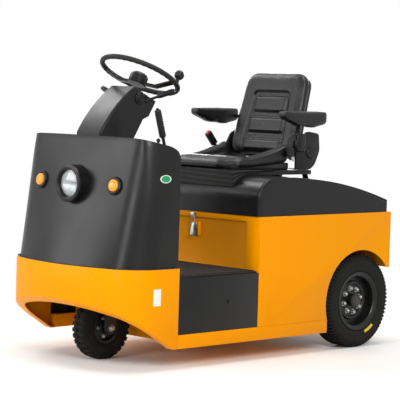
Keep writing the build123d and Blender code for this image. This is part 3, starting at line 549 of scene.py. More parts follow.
def strap(points, thick, near, far):
    """A flat strip that follows points of x and z, from near to far across the tractor."""
    line = [Vector(point) for point in points]
    other = []
    for i, spot in enumerate(line):
        run = line[min(i + 1, len(line) - 1)] - line[max(i - 1, 0)]
        other.append(spot + Vector((-run.y, run.x)).normalized() * thick)
    return plate([(x, near, z) for x, z in line + other[::-1]], Vector((0, far - near, 0)))


def arc(radius, start, end, out=0.0, along=0.0, steps=8):
    """A curved stretch of a half section, between two angles in degrees."""
    turns = [math.radians(start + (end - start) * i / steps) for i in range(steps + 1)]
    return [(out + radius * math.cos(turn), along + radius * math.sin(turn)) for turn in turns]


def softened(name, body, slot, finish, width, reshape=None):
    """A solid of the tractor with its edges broken, as pressed sheet and castings have them."""
    piece = copied(nodes[name], Matrix.Identity(4))
    only(piece)
    bpy.ops.object.mode_set(mode="EDIT")
    bpy.ops.mesh.select_all(action="SELECT")
    bpy.ops.mesh.remove_doubles(threshold=merge_gap)
    bpy.ops.mesh.dissolve_limited(angle_limit=math.radians(1))
    bpy.ops.object.mode_set(mode="OBJECT")
    if reshape:
        for corner in piece.data.vertices:
            corner.co = reshape(corner.co)
    round_edges(piece, width, 2, 30)
    return fit(piece, name + "_skin", body, slot, finish, name)


# %% [markdown]
# ## Tyres
# Industrial pneumatic tyres: a smooth carcass with raised rings on its wall, and a row of rubber lugs on
# each shoulder. The carcass is a spun half section. One lug is drawn as an outline, extruded to its width and
# repeated round the axle, as the mould does it.


# %% A tyre with lugs
def lugged_tyre(centre, carcass, lug, lug_width, lug_count):
    """A tyre from half sections given as radius and place across it, in millimetres."""
    side = mm(carcass)
    body = turned(side + [(radius, -place) for radius, place in reversed(side[:-1])], centre, across, 96)
    smooth(body, 30)
    pieces = [body]
    for way in (1, -1):
        outline = [Vector((-lug_width / 2, way * place, radius)) for radius, place in mm(lug)]
        block = plate([Vector(centre) + spot for spot in outline], Vector((lug_width, 0, 0)))
        pieces.append(ring_of(block, lug_count, centre, across, way * 90 / lug_count))
    return joined(pieces)


# %% Rear tyres, in sections of radius and place across
rear_carcass = [
    (139.2, 50), (144, 54), (152, 57), (153, 58.6), (156, 59.4), (160, 60.6), (170, 63.4), (173, 63.8),
    (174, 65), (178, 65), (179, 64), (188, 64.4), (200, 63.4), (210, 60.4), (218, 54.8), (222, 46.5),
    (223.4, 30), (224, 0),
]
rear_lug = [(221, 9), (231.5, 9), (232.4, 14), (232.4, 45), (229.5, 53), (221, 60), (207, 64.6), (205, 61),
    (215, 55.5), (220, 46)]
sides = (("left", 1), ("right", -1))
rear_spots = {"left": Vector((-0.650, 0.378, 0.2325)), "right": Vector((-0.650, -0.378, 0.2325))}
for side_name, spot in rear_spots.items():
    tyre = lugged_tyre(spot, rear_carcass, rear_lug, lug_width=0.0098, lug_count=72)
    fit(tyre, side_name + "_rear_tyre_tread", side_name + "_rear_wheel", "tyre", tyre_rubber,
        side_name + "_rear_tyre")

# %% Front tyre
front_spot = Vector((0.667, 0, 0.150))
front_carcass = [
    (76.2, 34), (80, 36.6), (86, 39.4), (87, 40.8), (90, 41.2), (100, 43), (112, 43.8), (124, 42.6),
    (133, 39.6), (139, 34), (142, 26), (142.6, 0),
]
front_lug = [(139, 3), (149.4, 3), (149.9, 7), (149.9, 27), (147.6, 34.5), (141, 40), (130, 43.8), (128, 41),
    (136, 36), (139.6, 28)]
tyre = lugged_tyre(front_spot, front_carcass, front_lug, lug_width=0.0165, lug_count=30)
fit(tyre, "front_tyre_tread", "front_wheel", "tyre", tyre_rubber, "front_tyre")

# %% [markdown]
# ## Rims and hubs
# Pressed steel rims: a rolled lip that holds the bead, a disc with a raised step, a ring of plated nuts and a
# grey hub cap. The solids give the barrel and disc, and the turned rings and nuts are set on them.

# %% Rear rims: lip, step, nuts and hub cap
nut_circle, rear_nuts = 0.061, 8
for side_name, way in sides:
    spot = rear_spots[side_name]
    out = across * way
    wheel = side_name + "_rear_wheel"
    lip = [(126, 44), (129, 50), (138, 54.5), (145, 55.5), (147, 58), (145, 60.5), (139, 60), (128, 55.5),
        (123, 49)]
    step = [(78, 12), (82, 19), (88, 22), (94, 21), (99, 12)]
    rolled = turned(mm(lip + lip[:1]), spot, out)
    raised = turned(mm(step), spot, out)
    trim = joined([rolled, raised])
    smooth(trim, 40)
    fit(trim, side_name + "_rear_rim_lip", wheel, "black_paint", rim_enamel)
    bolt = nut(spot + out * 0.012 + Vector((0, 0, nut_circle)), out, 0.021, 0.013)
    fit(ring_of(bolt, rear_nuts, spot, across, 12), side_name + "_rear_wheel_nuts", wheel, "zinc_steel",
        zinc_plate)
    cap = [(31.1, 36), (33.5, 36.5), (33.5, 45), (30, 46.5), (29, 51.5), (26, 53.4), (10, 54), (0, 54)]
    cover = turned(mm(cap), spot, out, 40)
    smooth(cover, 40)
    fit(cover, side_name + "_hub_cap", wheel, "cast_iron", cast_black)

# %% The paint bar on the outer wall of each rear tyre
mark_middle = Vector((-0.50, 0, -0.866)).normalized()
mark_reach = 0.978
mark_side = mm([(159, 60.3), (159, 61.2), (171.5, 64.6), (171.5, 63.7)])
for side_name, way in sides:
    spot = rear_spots[side_name]
    bar = turned(mark_side, spot, across * way, 96)
    only(bar)
    bpy.ops.object.mode_set(mode="EDIT")
    bpy.ops.mesh.select_all(action="DESELECT")
    shape = bmesh.from_edit_mesh(bar.data)
    for corner in shape.verts:
        arm = corner.co - spot
        arm.y = 0
        corner.select_set(arm.normalized().dot(mark_middle) < mark_reach)
    bmesh.update_edit_mesh(bar.data)
    bpy.ops.mesh.delete(type="VERT")
    close_up()
    fit(bar, side_name + "_tyre_mark", side_name + "_rear_wheel", "tyre", inks["yellow_mark"])

# %% Front wheel: a closed dark disc on each side, its nuts, and the axle's end nuts on the fork
front_disc = [(25.2, 14), (25.2, 30), (29, 31), (33, 27), (52, 26), (60, 22), (63.9, 12), (63.9, 7), (40, 7)]
for side_name, way in sides:
    out = across * way
    disc = turned(mm(front_disc), front_spot, out)
    fit(smooth(disc), side_name + "_front_hub_disc", "front_wheel", "black_paint", rim_enamel)
    bolt = nut(front_spot + out * 0.0262 + Vector((0, 0, 0.044)), out, 0.014, 0.008)
    fit(ring_of(bolt, 5, front_spot, across, 20), side_name + "_front_wheel_nuts", "front_wheel",
        "zinc_steel", zinc_plate)
    end = nut(front_spot + out * 0.0701, out, 0.026, 0.012)
    fit(end, side_name + "_front_axle_nut", "fork", "zinc_steel", zinc_plate)

# %% [markdown]
# ## Seat
# Foam under vinyl. The covers could be sculpted, but foam that presses on a sewn cover gives the round, taut
# look by itself, so each cover starts slightly small, is blown up as cloth with a little pressure inside, and
# its pads and seams are pressed in afterwards.


# %% Foam that presses on a cover
cloth_steps = 20


def step_up(value, start, end):
    """0 before start, 1 after end, smooth between them."""
    share = min(max((value - start) / (end - start), 0), 1)
    return share * share * (3 - 2 * share)


def swell(piece, voxel, softness, limit, pressure):
    """Rounds a cover, blows it up by pressure with no point moving further than the limit, and smooths it."""
    modify(piece, "REMESH", mode="VOXEL", voxel_size=voxel)
    modify(piece, "SMOOTH", factor=0.5, iterations=softness)
    sewn = [corner.co.copy() for corner in piece.data.vertices]
    only(piece)
    cover = piece.modifiers.new("cover", "CLOTH")
    cover.settings.use_pressure = True
    cover.settings.uniform_pressure_force = pressure
    cover.settings.effector_weights.gravity = 0
    cover.point_cache.frame_end = cloth_steps
    for step in range(1, cloth_steps + 1):
        scene.frame_set(step)
    bpy.ops.object.modifier_apply(modifier="cover")
    scene.frame_set(1)
    for corner, start in zip(piece.data.vertices, sewn):
        move = corner.co - start
        corner.co = start + move * min(1, limit / max(move.length, 1e-9))
    modify(piece, "SMOOTH", factor=0.5, iterations=4)
    modify(piece, "SUBSURF", levels=1, render_levels=1)
    bpy.ops.object.shade_smooth()
    return piece


def emboss(piece, height_at, way):
    """Raises or sinks the side of a cover that faces a way, by a height given for each point."""
    facings = [step_up(corner.normal.dot(way), 0.2, 0.6) for corner in piece.data.vertices]
    for corner, facing in zip(piece.data.vertices, facings):
        if facing:
            corner.co += way * facing * height_at(corner.co)


def inside(x, y, half_x, half_y, radius):
    """How far a point lies inside a rounded rectangle about the middle: below 0 outside it."""
    over_x = abs(x) - half_x + radius
    over_y = abs(y) - half_y + radius
    return radius - math.hypot(max(over_x, 0), max(over_y, 0)) - min(max(over_x, over_y), 0)


def seam(distance, depth, width):
    """The depth of a stitched seam at a distance from it."""
    return -depth * math.exp(-((distance / width) ** 2))


# %% Seat cushion: side rolls that climb to the back, a roll in front, a lower middle
roll_climb, middle_drop, front_drop, corner_cut = 0.080, 0.020, 0.012, 0.055
cushion = slab((-0.337, -0.241, 0.886), (0.094, 0.241, 0.941))
modify(cushion, "BEVEL", width=0.024, segments=4)
modify(cushion, "REMESH", mode="VOXEL", voxel_size=0.010)
for corner in cushion.data.vertices:
    spot = corner.co
    upper = step_up(spot.z, 0.890, 0.938)
    roll = step_up(abs(spot.y), 0.145, 0.195)
    climb = min(max((-0.05 - spot.x) / 0.287, 0), 1) ** 1.7
    spot.z += roll * roll_climb * climb * (0.45 + 0.55 * upper)
    spot.z -= upper * (1 - roll) * middle_drop * step_up(-spot.x, 0.0, 0.06)
    spot.z -= upper * front_drop * step_up(spot.x, 0.04, 0.094)
    spot.x -= corner_cut * step_up(abs(spot.y), 0.14, 0.241) * step_up(spot.x, -0.08, 0.094)
swell(cushion, voxel=0.008, softness=10, limit=0.006, pressure=4)


def cushion_relief(point):
    """The seams of the cushion: one round the middle, and three across it."""
    border = inside(point.x + 0.182, point.y, 0.178, 0.166, 0.05)
    ribs = min(abs(point.x + 0.085), abs(point.x + 0.175), abs(point.x + 0.265))
    return seam(border, 0.008, 0.006) + step_up(border, 0.01, 0.03) * seam(ribs, 0.004, 0.006)


emboss(cushion, cushion_relief, up)
fit(cushion, "seat_cushion_cover", "seat_lid", "seat_vinyl", grained_vinyl, "seat_cushion")

# %% Backrest: a broad rolled frame round a sunk panel with three pads
back_lean = math.radians(15.6)
back_forward = Vector((math.cos(back_lean), 0, math.sin(back_lean)))
back_upward = Vector((-math.sin(back_lean), 0, math.cos(back_lean)))
back_axes = Matrix((Vector((0, 1, 0)), back_upward, back_forward)).transposed().to_4x4()
on_back = Matrix.Translation((-0.348, 0, 0.945)) @ back_axes
off_back = on_back.inverted()
back_frame = rounded([(-0.231, 0.004), (0.231, 0.004), (0.211, 0.440), (-0.211, 0.440)], 0.080)
backrest = plate([(x, y, -0.058) for x, y in back_frame], Vector((0, 0, 0.050)))
round_edges(backrest, 0.022, 4)
backrest.data.transform(on_back)
swell(backrest, voxel=0.007, softness=12, limit=0.006, pressure=4)
panel_sink, pad_rise = 0.013, 0.011
# Each pad: height of its middle, half height, half width
back_pads = [(0.268, 0.046, 0.110), (0.158, 0.043, 0.123), (0.054, 0.033, 0.132)]


def backrest_relief(point):
    """The sunk panel of the backrest, with its pads and their seams."""
    spot = off_back @ point
    panel = inside(spot.x, spot.y - 0.164, 0.147 - 0.07 * spot.y, 0.170, 0.028)
    height = -panel_sink * step_up(panel, -0.005, 0.010) + seam(panel, 0.004, 0.005)
    for middle, half_high, half_wide in back_pads:
        pad = inside(spot.x, spot.y - middle, half_wide, half_high, 0.018)
        height += pad_rise * step_up(pad, 0.0, 0.018) + seam(pad, 0.003, 0.004)
    return height


emboss(backrest, backrest_relief, back_forward)
fit(backrest, "backrest_cover", "backrest", "seat_vinyl", grained_vinyl, "backrest_cushion")

# %% Armrests: blunt tips, deepest in front of the pivot
arm_low, arm_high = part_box("left_armrest")
arm_room = 0.004
arm_side = [
    (arm_low.x + arm_room, arm_high.z - arm_room),
    (arm_high.x - arm_room, arm_high.z - arm_room),
    (arm_high.x - arm_room, arm_high.z - 0.036),
    (arm_high.x - 0.105, arm_high.z - 0.078),
    (arm_high.x - 0.214, arm_low.z + arm_room),
    (arm_low.x + arm_room, arm_high.z - 0.064),
]
arm_wide = arm_high.y - arm_low.y - 2 * arm_room
for side_name, way in sides:
    inner = way * (arm_low.y + arm_room)
    arm = plate([(x, inner, z) for x, z in rounded(arm_side, 0.012)], Vector((0, way * arm_wide, 0)))
    swell(arm, voxel=0.006, softness=3, limit=0.005, pressure=4)
    fit(arm, side_name + "_armrest_pad", side_name + "_arm", "seat_vinyl", grained_vinyl,
        side_name + "_armrest")
print("armrests are", round(arm_wide * 1000), "mm wide before they swell")

# %% [markdown]
# ## Seat frame
# Under the cushion lies a board on a pressed pan, and a black rubber skirt closes the gap to the lid. The
# backrest's foam is held by a moulded shell that turns on a tube. The hinge housings, the belt reel and the
# buckle are moulded in plastic, with rounded edges everywhere.


# %% The lid's top, and the cushion's board above it
lid_roll_x, lid_roll_z, lid_roll_r = -0.009, 0.755, 0.1
lid_crown_x, lid_crown_z, lid_bow_r = -0.090, 0.856, 2.361


def lid_top(x):
    """The height of the lid's bowed top, with its round front."""
    if x > lid_roll_x:
        return lid_roll_z + math.sqrt(max(lid_roll_r**2 - (x - lid_roll_x) ** 2, 0))
    return lid_crown_z - (x - lid_crown_x) ** 2 / (2 * lid_bow_r)


board = round_edges(slab((-0.335, -0.226, 0.8800), (0.066, 0.226, 0.915)), 0.006)
fit(board, "seat_cushion_board", "seat_lid", "black_plastic", moulded_black)

# %% Rubber skirt with soft folds
skirt_top, fold_depth, folds = 0.883, 0.010, 3.5
skirt = slab((-0.200, -0.2525, 0), (0.082, 0.2525, 1))
only(skirt)
bpy.ops.object.mode_set(mode="EDIT")
bpy.ops.mesh.select_all(action="SELECT")
bpy.ops.mesh.subdivide(number_cuts=30)
bpy.ops.object.mode_set(mode="OBJECT")
for corner in skirt.data.vertices:
    spot = corner.co
    low = min(max(lid_top(spot.x) - 0.004, 0.813 + (0.056 - spot.x) * 0.33), 0.874)
    fold = 1 + fold_depth * math.sin(spot.z * folds * 2 * math.pi + spot.y * 9) * step_up(spot.z, 0, 0.2)
    spot.z = low + spot.z * (skirt_top - low)
    spot.x = 0.02 + (spot.x - 0.02) * fold
    spot.y *= fold
smooth(skirt, 50)
fit(skirt, "seat_skirt", "seat_lid", "black_plastic", soft_rubber)

# %% Steel arches behind the seat
for side_name, way in sides:
    arch = [(-0.281, 0.851), (-0.300, 0.872), (-0.333, 0.890), (-0.420, 0.886), (-0.491, 0.876),
        (-0.508, 0.826)]
    bar = round_edges(strap(arch, 0.005, way * 0.172, way * 0.208), 0.0012)
    fit(bar, side_name + "_seat_arch", "seat_lid", "black_paint", satin_black)

# %% Backrest shell with its ribs, tube and the armrests' rods
hinge_x, hinge_z = -0.470, 0.965
shell_side = rounded([(-0.200, 0.006), (0.200, 0.006), (0.180, 0.424), (-0.180, 0.424)], 0.052)
shell = round_edges(plate([(x, y, -0.0885) for x, y in shell_side], Vector((0, 0, 0.0265))), 0.006)
ribs = []
for place in (-0.12, -0.04, 0.04, 0.12):
    ribs.append(round_edges(slab((place - 0.006, 0.10, -0.0905), (place + 0.006, 0.392, -0.086)), 0.0015))
shell = joined([shell] + ribs)
shell.data.transform(on_back)
tube = mm([(0, -222), (28, -222), (30, -220), (30, 220), (28, 222), (0, 222)])
rods = [turned(tube, (hinge_x, 0, hinge_z), across)]
for way in (1, -1):
    rods.append(bent_bar([(-0.47465, way * 0.18, 1.13), (-0.47465, way * 0.306, 1.13)], 0.009, False))
shell = smooth(joined([shell] + rods), 35)
fit(shell, "backrest_moulding", "backrest", "black_plastic", moulded_black, "backrest_shell")

# %% Hinge housings with a cap over the pivot
housing_side = [(105, 30), (75, 82), (20, 106), (-60, 95), (-69, 10), (-36, -60)]
housing_foot = [(0, -85), (105, -85)]
housings = []
for way in (1, -1):
    side = rounded([(hinge_x + x, hinge_z + z) for x, z in mm(housing_side + housing_foot)], 0.016)
    housing = round_edges(plate([(x, way * 0.2348, z) for x, z in side], Vector((0, way * 0.0124, 0))),
        0.0035, 3)
    cap = mm([(0, 12), (30, 12), (30, 15), (28, 17), (12, 18), (0, 18)])
    cover = turned(cap, (hinge_x, way * 0.2348, hinge_z), across * way, 40)
    housings.append(smooth(joined([housing, cover]), 35))
fit(joined(housings), "hinge_housings", "seat_lid", "black_plastic", moulded_black, "seat_brackets")

# %% Belt reel
reel = round_edges(slab((-0.408, 0.2473, 0.970), (-0.348, 0.2720, 1.060)), 0.008, 3)
lid_cap = turned(mm([(0, 0), (20, 0), (20, 1.2), (17, 2.2), (0, 2.4)]), (-0.378, 0.2720, 1.010), across, 32)
fit(smooth(joined([reel, lid_cap]), 35), "belt_reel", "seat_lid", "black_plastic", moulded_black,
    "belt_retractor")

# %% Belt webbing, its sleeve and its tongue
belt_edge = [(-0.350, 1.064), (-0.320, 1.058), (-0.290, 1.034), (-0.280, 1.000), (-0.290, 0.960),
    (-0.312, 0.925)]
belt_edge += [(-0.350, 0.942), (-0.330, 0.972), (-0.322, 1.000), (-0.328, 1.020), (-0.350, 1.034)]
belt = plate([(x, 0.2535, z) for x, z in rounded(belt_edge, 0.010, 3)], Vector((0, 0.0024, 0)))
fit(smooth(belt, 60), "belt_webbing", "seat_lid", "seat_vinyl", webbing)
sleeve_side = rounded([(-0.332, 0.990), (-0.276, 1.000), (-0.284, 0.948), (-0.332, 0.945)], 0.010)
sleeve = round_edges(plate([(x, 0.2500, z) for x, z in sleeve_side], Vector((0, 0.0150, 0))), 0.004, 3)
fit(sleeve, "belt_sleeve", "seat_lid", "black_plastic", moulded_black)
tongue = [(-0.338, 0.946), (-0.318, 0.946), (-0.326, 0.922), (-0.346, 0.924)]
tongue = round_edges(plate([(x, 0.2560, z) for x, z in tongue], Vector((0, 0.0022, 0))), 0.0008)
fit(tongue, "belt_tongue", "seat_lid", "zinc_steel", zinc_plate)

# %% Buckle with a red button
buckle_lean = math.radians(42)
buckle_axes = Matrix.Translation((-0.312, -0.273, 0.990)) @ Matrix.Rotation(buckle_lean, 4, "Y")
case = round_edges(slab((-0.017, -0.0125, -0.004), (0.017, 0.0125, 0.074)), 0.005, 3)
case.data.transform(buckle_axes)
stalk = bent_bar([(-0.400, -0.268, 0.905), (-0.352, -0.272, 0.950), (-0.306, -0.273, 0.996)], 0.0062)
fit(smooth(joined([case, stalk]), 35), "belt_buckle_case", "seat_lid", "black_plastic", moulded_black,
    "belt_buckle")
button = round_edges(slab((-0.012, -0.0095, 0.069), (0.012, 0.0095, 0.0785)), 0.002)
button.data.transform(buckle_axes)
fit(button, "belt_buckle_button", "seat_lid", "black_plastic", inks["red_button"])

# %% [markdown]
# ## Steering wheel
# A steel ring and two spokes with foam moulded round them. The ring is a torus whose underside gets shallow
# finger waves, the spokes are bent plates, and the hub is turned with a groove round its cap.

# %% Rim with finger waves
wheel_tilt = math.radians(26)
wheel_axis = Vector((-math.sin(wheel_tilt), 0, math.cos(wheel_tilt)))
wheel_front = Vector((math.cos(wheel_tilt), 0, math.sin(wheel_tilt)))
wheel_axes = Matrix((wheel_front, across, wheel_axis)).transposed().to_4x4()
on_wheel = Matrix.Translation((0.467, 0, 1.321)) @ wheel_axes
rim_r, grip_r = 0.1875, 0.0125
finger_waves, wave_depth = 36, 0.06
bpy.ops.object.select_all(action="DESELECT")
bpy.ops.mesh.primitive_torus_add(major_radius=rim_r, minor_radius=grip_r, major_segments=144,
    minor_segments=16)
hand_rim = bpy.context.object
for corner in hand_rim.data.vertices:
    turn = math.atan2(corner.co.y, corner.co.x)
    middle = Vector((math.cos(turn), math.sin(turn), 0)) * rim_r
    wave = (1 - math.cos(turn * finger_waves)) * step_up(-corner.co.z, -0.002, 0.009)
    corner.co = middle + (corner.co - middle) * (1 - wave_depth * wave)
hand_rim.data.transform(on_wheel)
fit(smooth(hand_rim, 60), "steering_wheel_rim", "hand_wheel", "wheel_rim_foam", soft_rubber, "steering_wheel")

# %% Spokes and hub
spoke_turn = math.radians(20)
spoke_side = [(0.030, -0.045), (0.104, -0.045), (0.186, -0.005), (0.183, 0.005), (0.102, -0.035),
    (0.030, -0.035)]
hub_side = [(0, -48), (41, -48), (45, -44), (45, -9), (43, -3), (40.5, -1), (39.8, -2.2), (39, -0.8), (37, 4),
    (32, 7), (26, 8), (0, 8)]
middle = [turned(mm(hub_side), origin, up, 48)]
for way in (1, -1):
    spoke = plate([(-0.017, way * radius, place) for radius, place in spoke_side], Vector((0.034, 0, 0)))
    round_edges(spoke, 0.0028, 3)
    spoke.data.transform(Matrix.Rotation(spoke_turn, 4, "Z"))
    middle.append(spoke)
middle = smooth(joined(middle), 35)
middle.data.transform(on_wheel)
fit(middle, "steering_wheel_spokes", "hand_wheel", "black_plastic", moulded_black)

# %% Spinner knob: a ball on a short neck
knob_turn = math.radians(116)
knob_foot = on_wheel @ Vector((rim_r * math.cos(knob_turn), rim_r * math.sin(knob_turn), 0))
ball_r, groove_r, ball_up = 0.0235, 0.0228, 0.0458
ball = [(0, 0.010), (0.010, 0.010), (0.009, 0.020)] + arc(ball_r, -66, -4, 0, ball_up)
ball += arc(groove_r, -2, 2, 0, ball_up, 2) + arc(ball_r, 4, 90, 0, ball_up)
knob = turned(ball, knob_foot, wheel_axis, 40)
fit(smooth(knob, 50), "spinner_ball", "hand_wheel", "black_plastic", moulded_black, "spinner_knob")

# %% [markdown]
# ## Column controls and the parking brake
# Small turned parts: each stalk is one half section spun about the line from its root to its tip, the switch
# is spun about the tractor's width, and the brake's grip gets its rubber rings from the section.

# %% Stalks and switch
stalk_side = [(0, 0), (9, 0), (9, 5), (6.4, 12), (6, 48), (7.4, 56), (11, 64), (12.4, 80), (13, 118),
    (11.6, 131), (7, 136), (0, 137)]
stalks = []
for root, tip in (
    ((0.503, 0.083, 1.2017), (0.418, 0.180, 1.252)),
    ((0.503, -0.083, 1.2017), (0.500, -0.225, 1.257)),
):
    line = Vector(tip) - Vector(root)
    stretch = (line.length + 0.006) / stalk_side[-1][1]
    side = [(radius / 1000, place * stretch) for radius, place in stalk_side]
    stalks.append(turned(side, root, line, 24))
dial = [(0, 0), (30, 0), (30, 4), (28, 6), (22, 6.4), (20.5, 8), (20, 11.4), (18.5, 12.4), (0, 12.6)]
dial = turned(mm(dial), (0.5415, 0.0852, 1.2138), across, 40)
pointer = round_edges(slab((0.5245, 0.097, 1.2103), (0.5585, 0.1010, 1.2173)), 0.0012)
fit(smooth(joined(stalks + [dial, pointer]), 35), "column_stalks", "tractor", "black_plastic", moulded_black,
    "column_controls")

# %% Parking brake: a grip with rubber rings, a rod and a button
grip_way = Vector((0.050, 0, 0.164)).normalized()
grip_foot = Vector((0.581, 0.250, 1.164)) - grip_way * 0.130
grip = [(0, 0), (0.0125, 0), (0.0145, 0.003)]
ring_pitch, ring_count = 0.0125, 9
for i in range(ring_count):
    ring = ((0.0160, 0.006), (0.0160, 0.0135), (0.0142, 0.0150), (0.0142, 0.0172))
    grip += [(radius, place + ring_pitch * i) for radius, place in ring]
grip += [(0.0155, 0.1225), (0.0145, 0.128), (0.009, 0.131), (0.009, 0.1325), (0, 0.133)]
grip = turned(grip, grip_foot, grip_way, 32)
fit(smooth(grip, 30), "brake_grip", "tractor", "floor_rubber", soft_rubber, "parking_brake_lever")
rod = bent_bar([(0.6325, 0.250, 0.8535), (0.531, 0.250, 1.000), (0.548, 0.250, 1.056)], 0.008, False)
button = turned([(0, 0.130), (0.0065, 0.130), (0.0065, 0.1365), (0.005, 0.1385), (0, 0.139)], grip_foot,
    grip_way, 24)
fit(smooth(joined([rod, button])), "brake_lever_rod", "tractor", "black_paint", satin_black)

# %% [markdown]
# ## Hood
# A sheet that is bowed at its foot, where it meets the nose band, and drawn nearly straight along its top
# edge. The solid has the same bow all the way up. Easing its few long triangles would show as streaks, so a
# grid is laid over the same outline, its points are eased forward towards the top corners, and the sheet gets
# its thickness last. The dash panel inside is eased with it.

# %% The hood's outline at a height, and how it is eased
hood_foot_x, hood_foot_z = 0.948, 0.412
hood_top_x, hood_top_z = 0.7926, 1.040
hood_rear_x, hood_half = 0.603, 0.438
bow_r, corner_r, rear_corner_r = 0.988, 0.178, 0.045
hood_slope, dash_slope = math.tan(math.radians(13.9)), 0.2456
straight_share, ease_run = 0.9, 0.12
# Up to these shares of the outline run the bow and the corner, and the rest is the straight side
bow_share, corner_share = 0.4, 0.8


def eased(spot):
    """A point of the hood with its bow taken out towards the top."""
    rise = min(max((spot.z - hood_foot_z) / (hood_top_z - hood_foot_z), 0), 1)
    fade = step_up(spot.x, hood_rear_x, hood_rear_x + ease_run)
    ahead = straight_share * rise * spot.y**2 / (2 * bow_r) * fade
    return Vector((spot.x + ahead, spot.y, spot.z + ahead * rise**4 * dash_slope))


def hood_outline(share, z):
    """A point of the outline at a height: share 0 is the middle of the front, 1 the rear edge on the left."""
    bow_x = hood_foot_x - (z - hood_foot_z) * hood_slope - bow_r
    side = hood_half - corner_r
    middle_x = bow_x + math.sqrt((bow_r - corner_r) ** 2 - side**2)
    start = math.atan2(side, middle_x - bow_x)
    end = math.acos(min(max((hood_rear_x - middle_x) / corner_r, 0), 1))
    if share < bow_share:
        turn = start * share / bow_share
        return bow_x + bow_r * math.cos(turn), bow_r * math.sin(turn)
    if share < corner_share:
        turn = start + (end - start) * (share - bow_share) / (corner_share - bow_share)
        return middle_x + corner_r * math.cos(turn), side + corner_r * math.sin(turn)
    x, y = middle_x + corner_r * math.cos(end), side + corner_r * math.sin(end)
    return x + (hood_rear_x - x) * (share - corner_share) / (1 - corner_share), y


def hood_point(share, rise):
    """A point of the hood's face: its share of the outline, and its share of the height."""
    top = hood_top_z
    for _ in range(6):
        edge_x = hood_outline(abs(share), top)[0]
        drop = max(rear_corner_r - (edge_x - hood_rear_x), 0)
        corner_drop = rear_corner_r - math.sqrt(rear_corner_r**2 - drop**2)
        top = hood_top_z - (hood_top_x - edge_x) * dash_slope - corner_drop
    z = hood_foot_z + rise * (top - hood_foot_z)
    x, y = hood_outline(abs(share), z)
    return eased(Vector((x, math.copysign(y, share), z)))


# %% Hood from a grid, with its thickness, and the dash
bpy.ops.object.select_all(action="DESELECT")
bpy.ops.mesh.primitive_grid_add(x_subdivisions=160, y_subdivisions=24, size=2)
hood = bpy.context.object
for corner in hood.data.vertices:
    corner.co = hood_point(corner.co.x, (corner.co.y + 1) / 2)
only(hood)
bpy.ops.object.mode_set(mode="EDIT")
bpy.ops.mesh.select_all(action="SELECT")
bpy.ops.mesh.normals_make_consistent(inside=False)
bpy.ops.object.mode_set(mode="OBJECT")
if hood.data.polygons[len(hood.data.polygons) // 2].normal.x < 0:
    hood.data.flip_normals()
modify(hood, "SOLIDIFY", thickness=0.004, offset=-1)
round_edges(hood, 0.0012, 2, 50)
fit(hood, "hood_sheet", "tractor", "black_paint", satin_black, "hood")
softened("dash_panel", "tractor", "black_paint", satin_black, 0.0010, eased)

# %% [markdown]
# ## Lamps
# The headlamp is a turned housing, a bright bowl, a bulb and a thick glass with upright flutes. The turn
# lamps are domed amber lenses in black rings, and the rear lamps are the same in red.

# %% Headlamp
lamp_spot = Vector((0.8468, 0, 0.821))
forward, rearward = Vector((1, 0, 0)), Vector((-1, 0, 0))
shell_ring = [(0, -30), (78, -30), (84, -24), (85, 20), (87, 36), (87.4, 44), (85, 49), (79, 51), (70, 50.4),
    (65.4, 47), (63, 41), (62.3, 34), (62.3, 4), (0, 4)]
housing = turned(mm(shell_ring), lamp_spot, forward, 72)
fit(smooth(housing, 30), "headlamp_ring", "tractor", "black_paint", satin_black, "headlamp_housing")
bowl = [(0, 4.5), (61.6, 4.5), (61.8, 33), (60.4, 32), (55, 22), (45, 13), (30, 8), (12, 6.4), (0, 6)]
bowl = turned(mm(bowl), lamp_spot, forward, 64)
fit(smooth(bowl), "headlamp_bowl", "tractor", "zinc_steel", reflector_metal)
bulb = [(0, 0.005), (0.007, 0.005), (0.007, 0.012)] + arc(0.009, -45, 90, 0, 0.020)
fit(smooth(turned(bulb, lamp_spot, forward, 24), 50), "headlamp_bulb", "tractor", "clear_lens",
    inks["dial_white"])
dome = [(0, 42.6), (25, 41.8), (45, 39.4), (61.9, 33.2), (61.9, 30.8), (45, 36.6), (25, 39), (0, 39.8)]
glass = [turned(mm(dome), lamp_spot, forward, 64)]
flute_r, flute_pitch = 0.0585, 0.0068
for i in range(-8, 9):
    place = i * flute_pitch
    reach = math.sqrt(flute_r**2 - place**2)
    depth = 0.0405 - 0.0000022 * (place * 1000) ** 2 - 0.003
    back = 0.0045 * (reach / flute_r) ** 2
    flute = [(depth - back, place, reach), (depth, place, 0), (depth - back, place, -reach)]
    glass.append(bent_bar([lamp_spot + Vector(spot) for spot in flute], 0.0024, True, 2))
fit(smooth(joined(glass), 50), "headlamp_glass", "tractor", "clear_lens", lamp_glass, "headlamp_lens")

# %% Turn lamps
lens_dome = [(0, 0), (27.7, 0), (27.7, 12), (26, 17), (21, 21), (12, 23.4), (0, 24)]
lens_ring = [(0, -20), (40, -20), (42, -17), (42, 6), (40, 10), (36, 12), (31, 12), (28.6, 9), (28.4, 1),
    (0, 1)]
lean, yaw = math.radians(11.3), math.radians(6.1)
lenses, rings = [], []
for way in (1, -1):
    seat = Vector((0.8325, way * 0.254, 0.822))
    look = Vector((math.cos(yaw) * math.cos(lean), way * math.sin(yaw) * math.cos(lean), math.sin(lean)))
    lenses.append(turned(mm(lens_dome), seat, look, 40))
    rings.append(turned(mm(lens_ring), seat, look, 40))
fit(smooth(joined(lenses), 50), "turn_lamp_domes", "tractor", "amber_lens", lens_plastics["amber"],
    "turn_lamp_lenses")
fit(smooth(joined(rings), 35), "turn_lamp_rings", "tractor", "black_plastic", moulded_black,
    "turn_lamp_bezels")

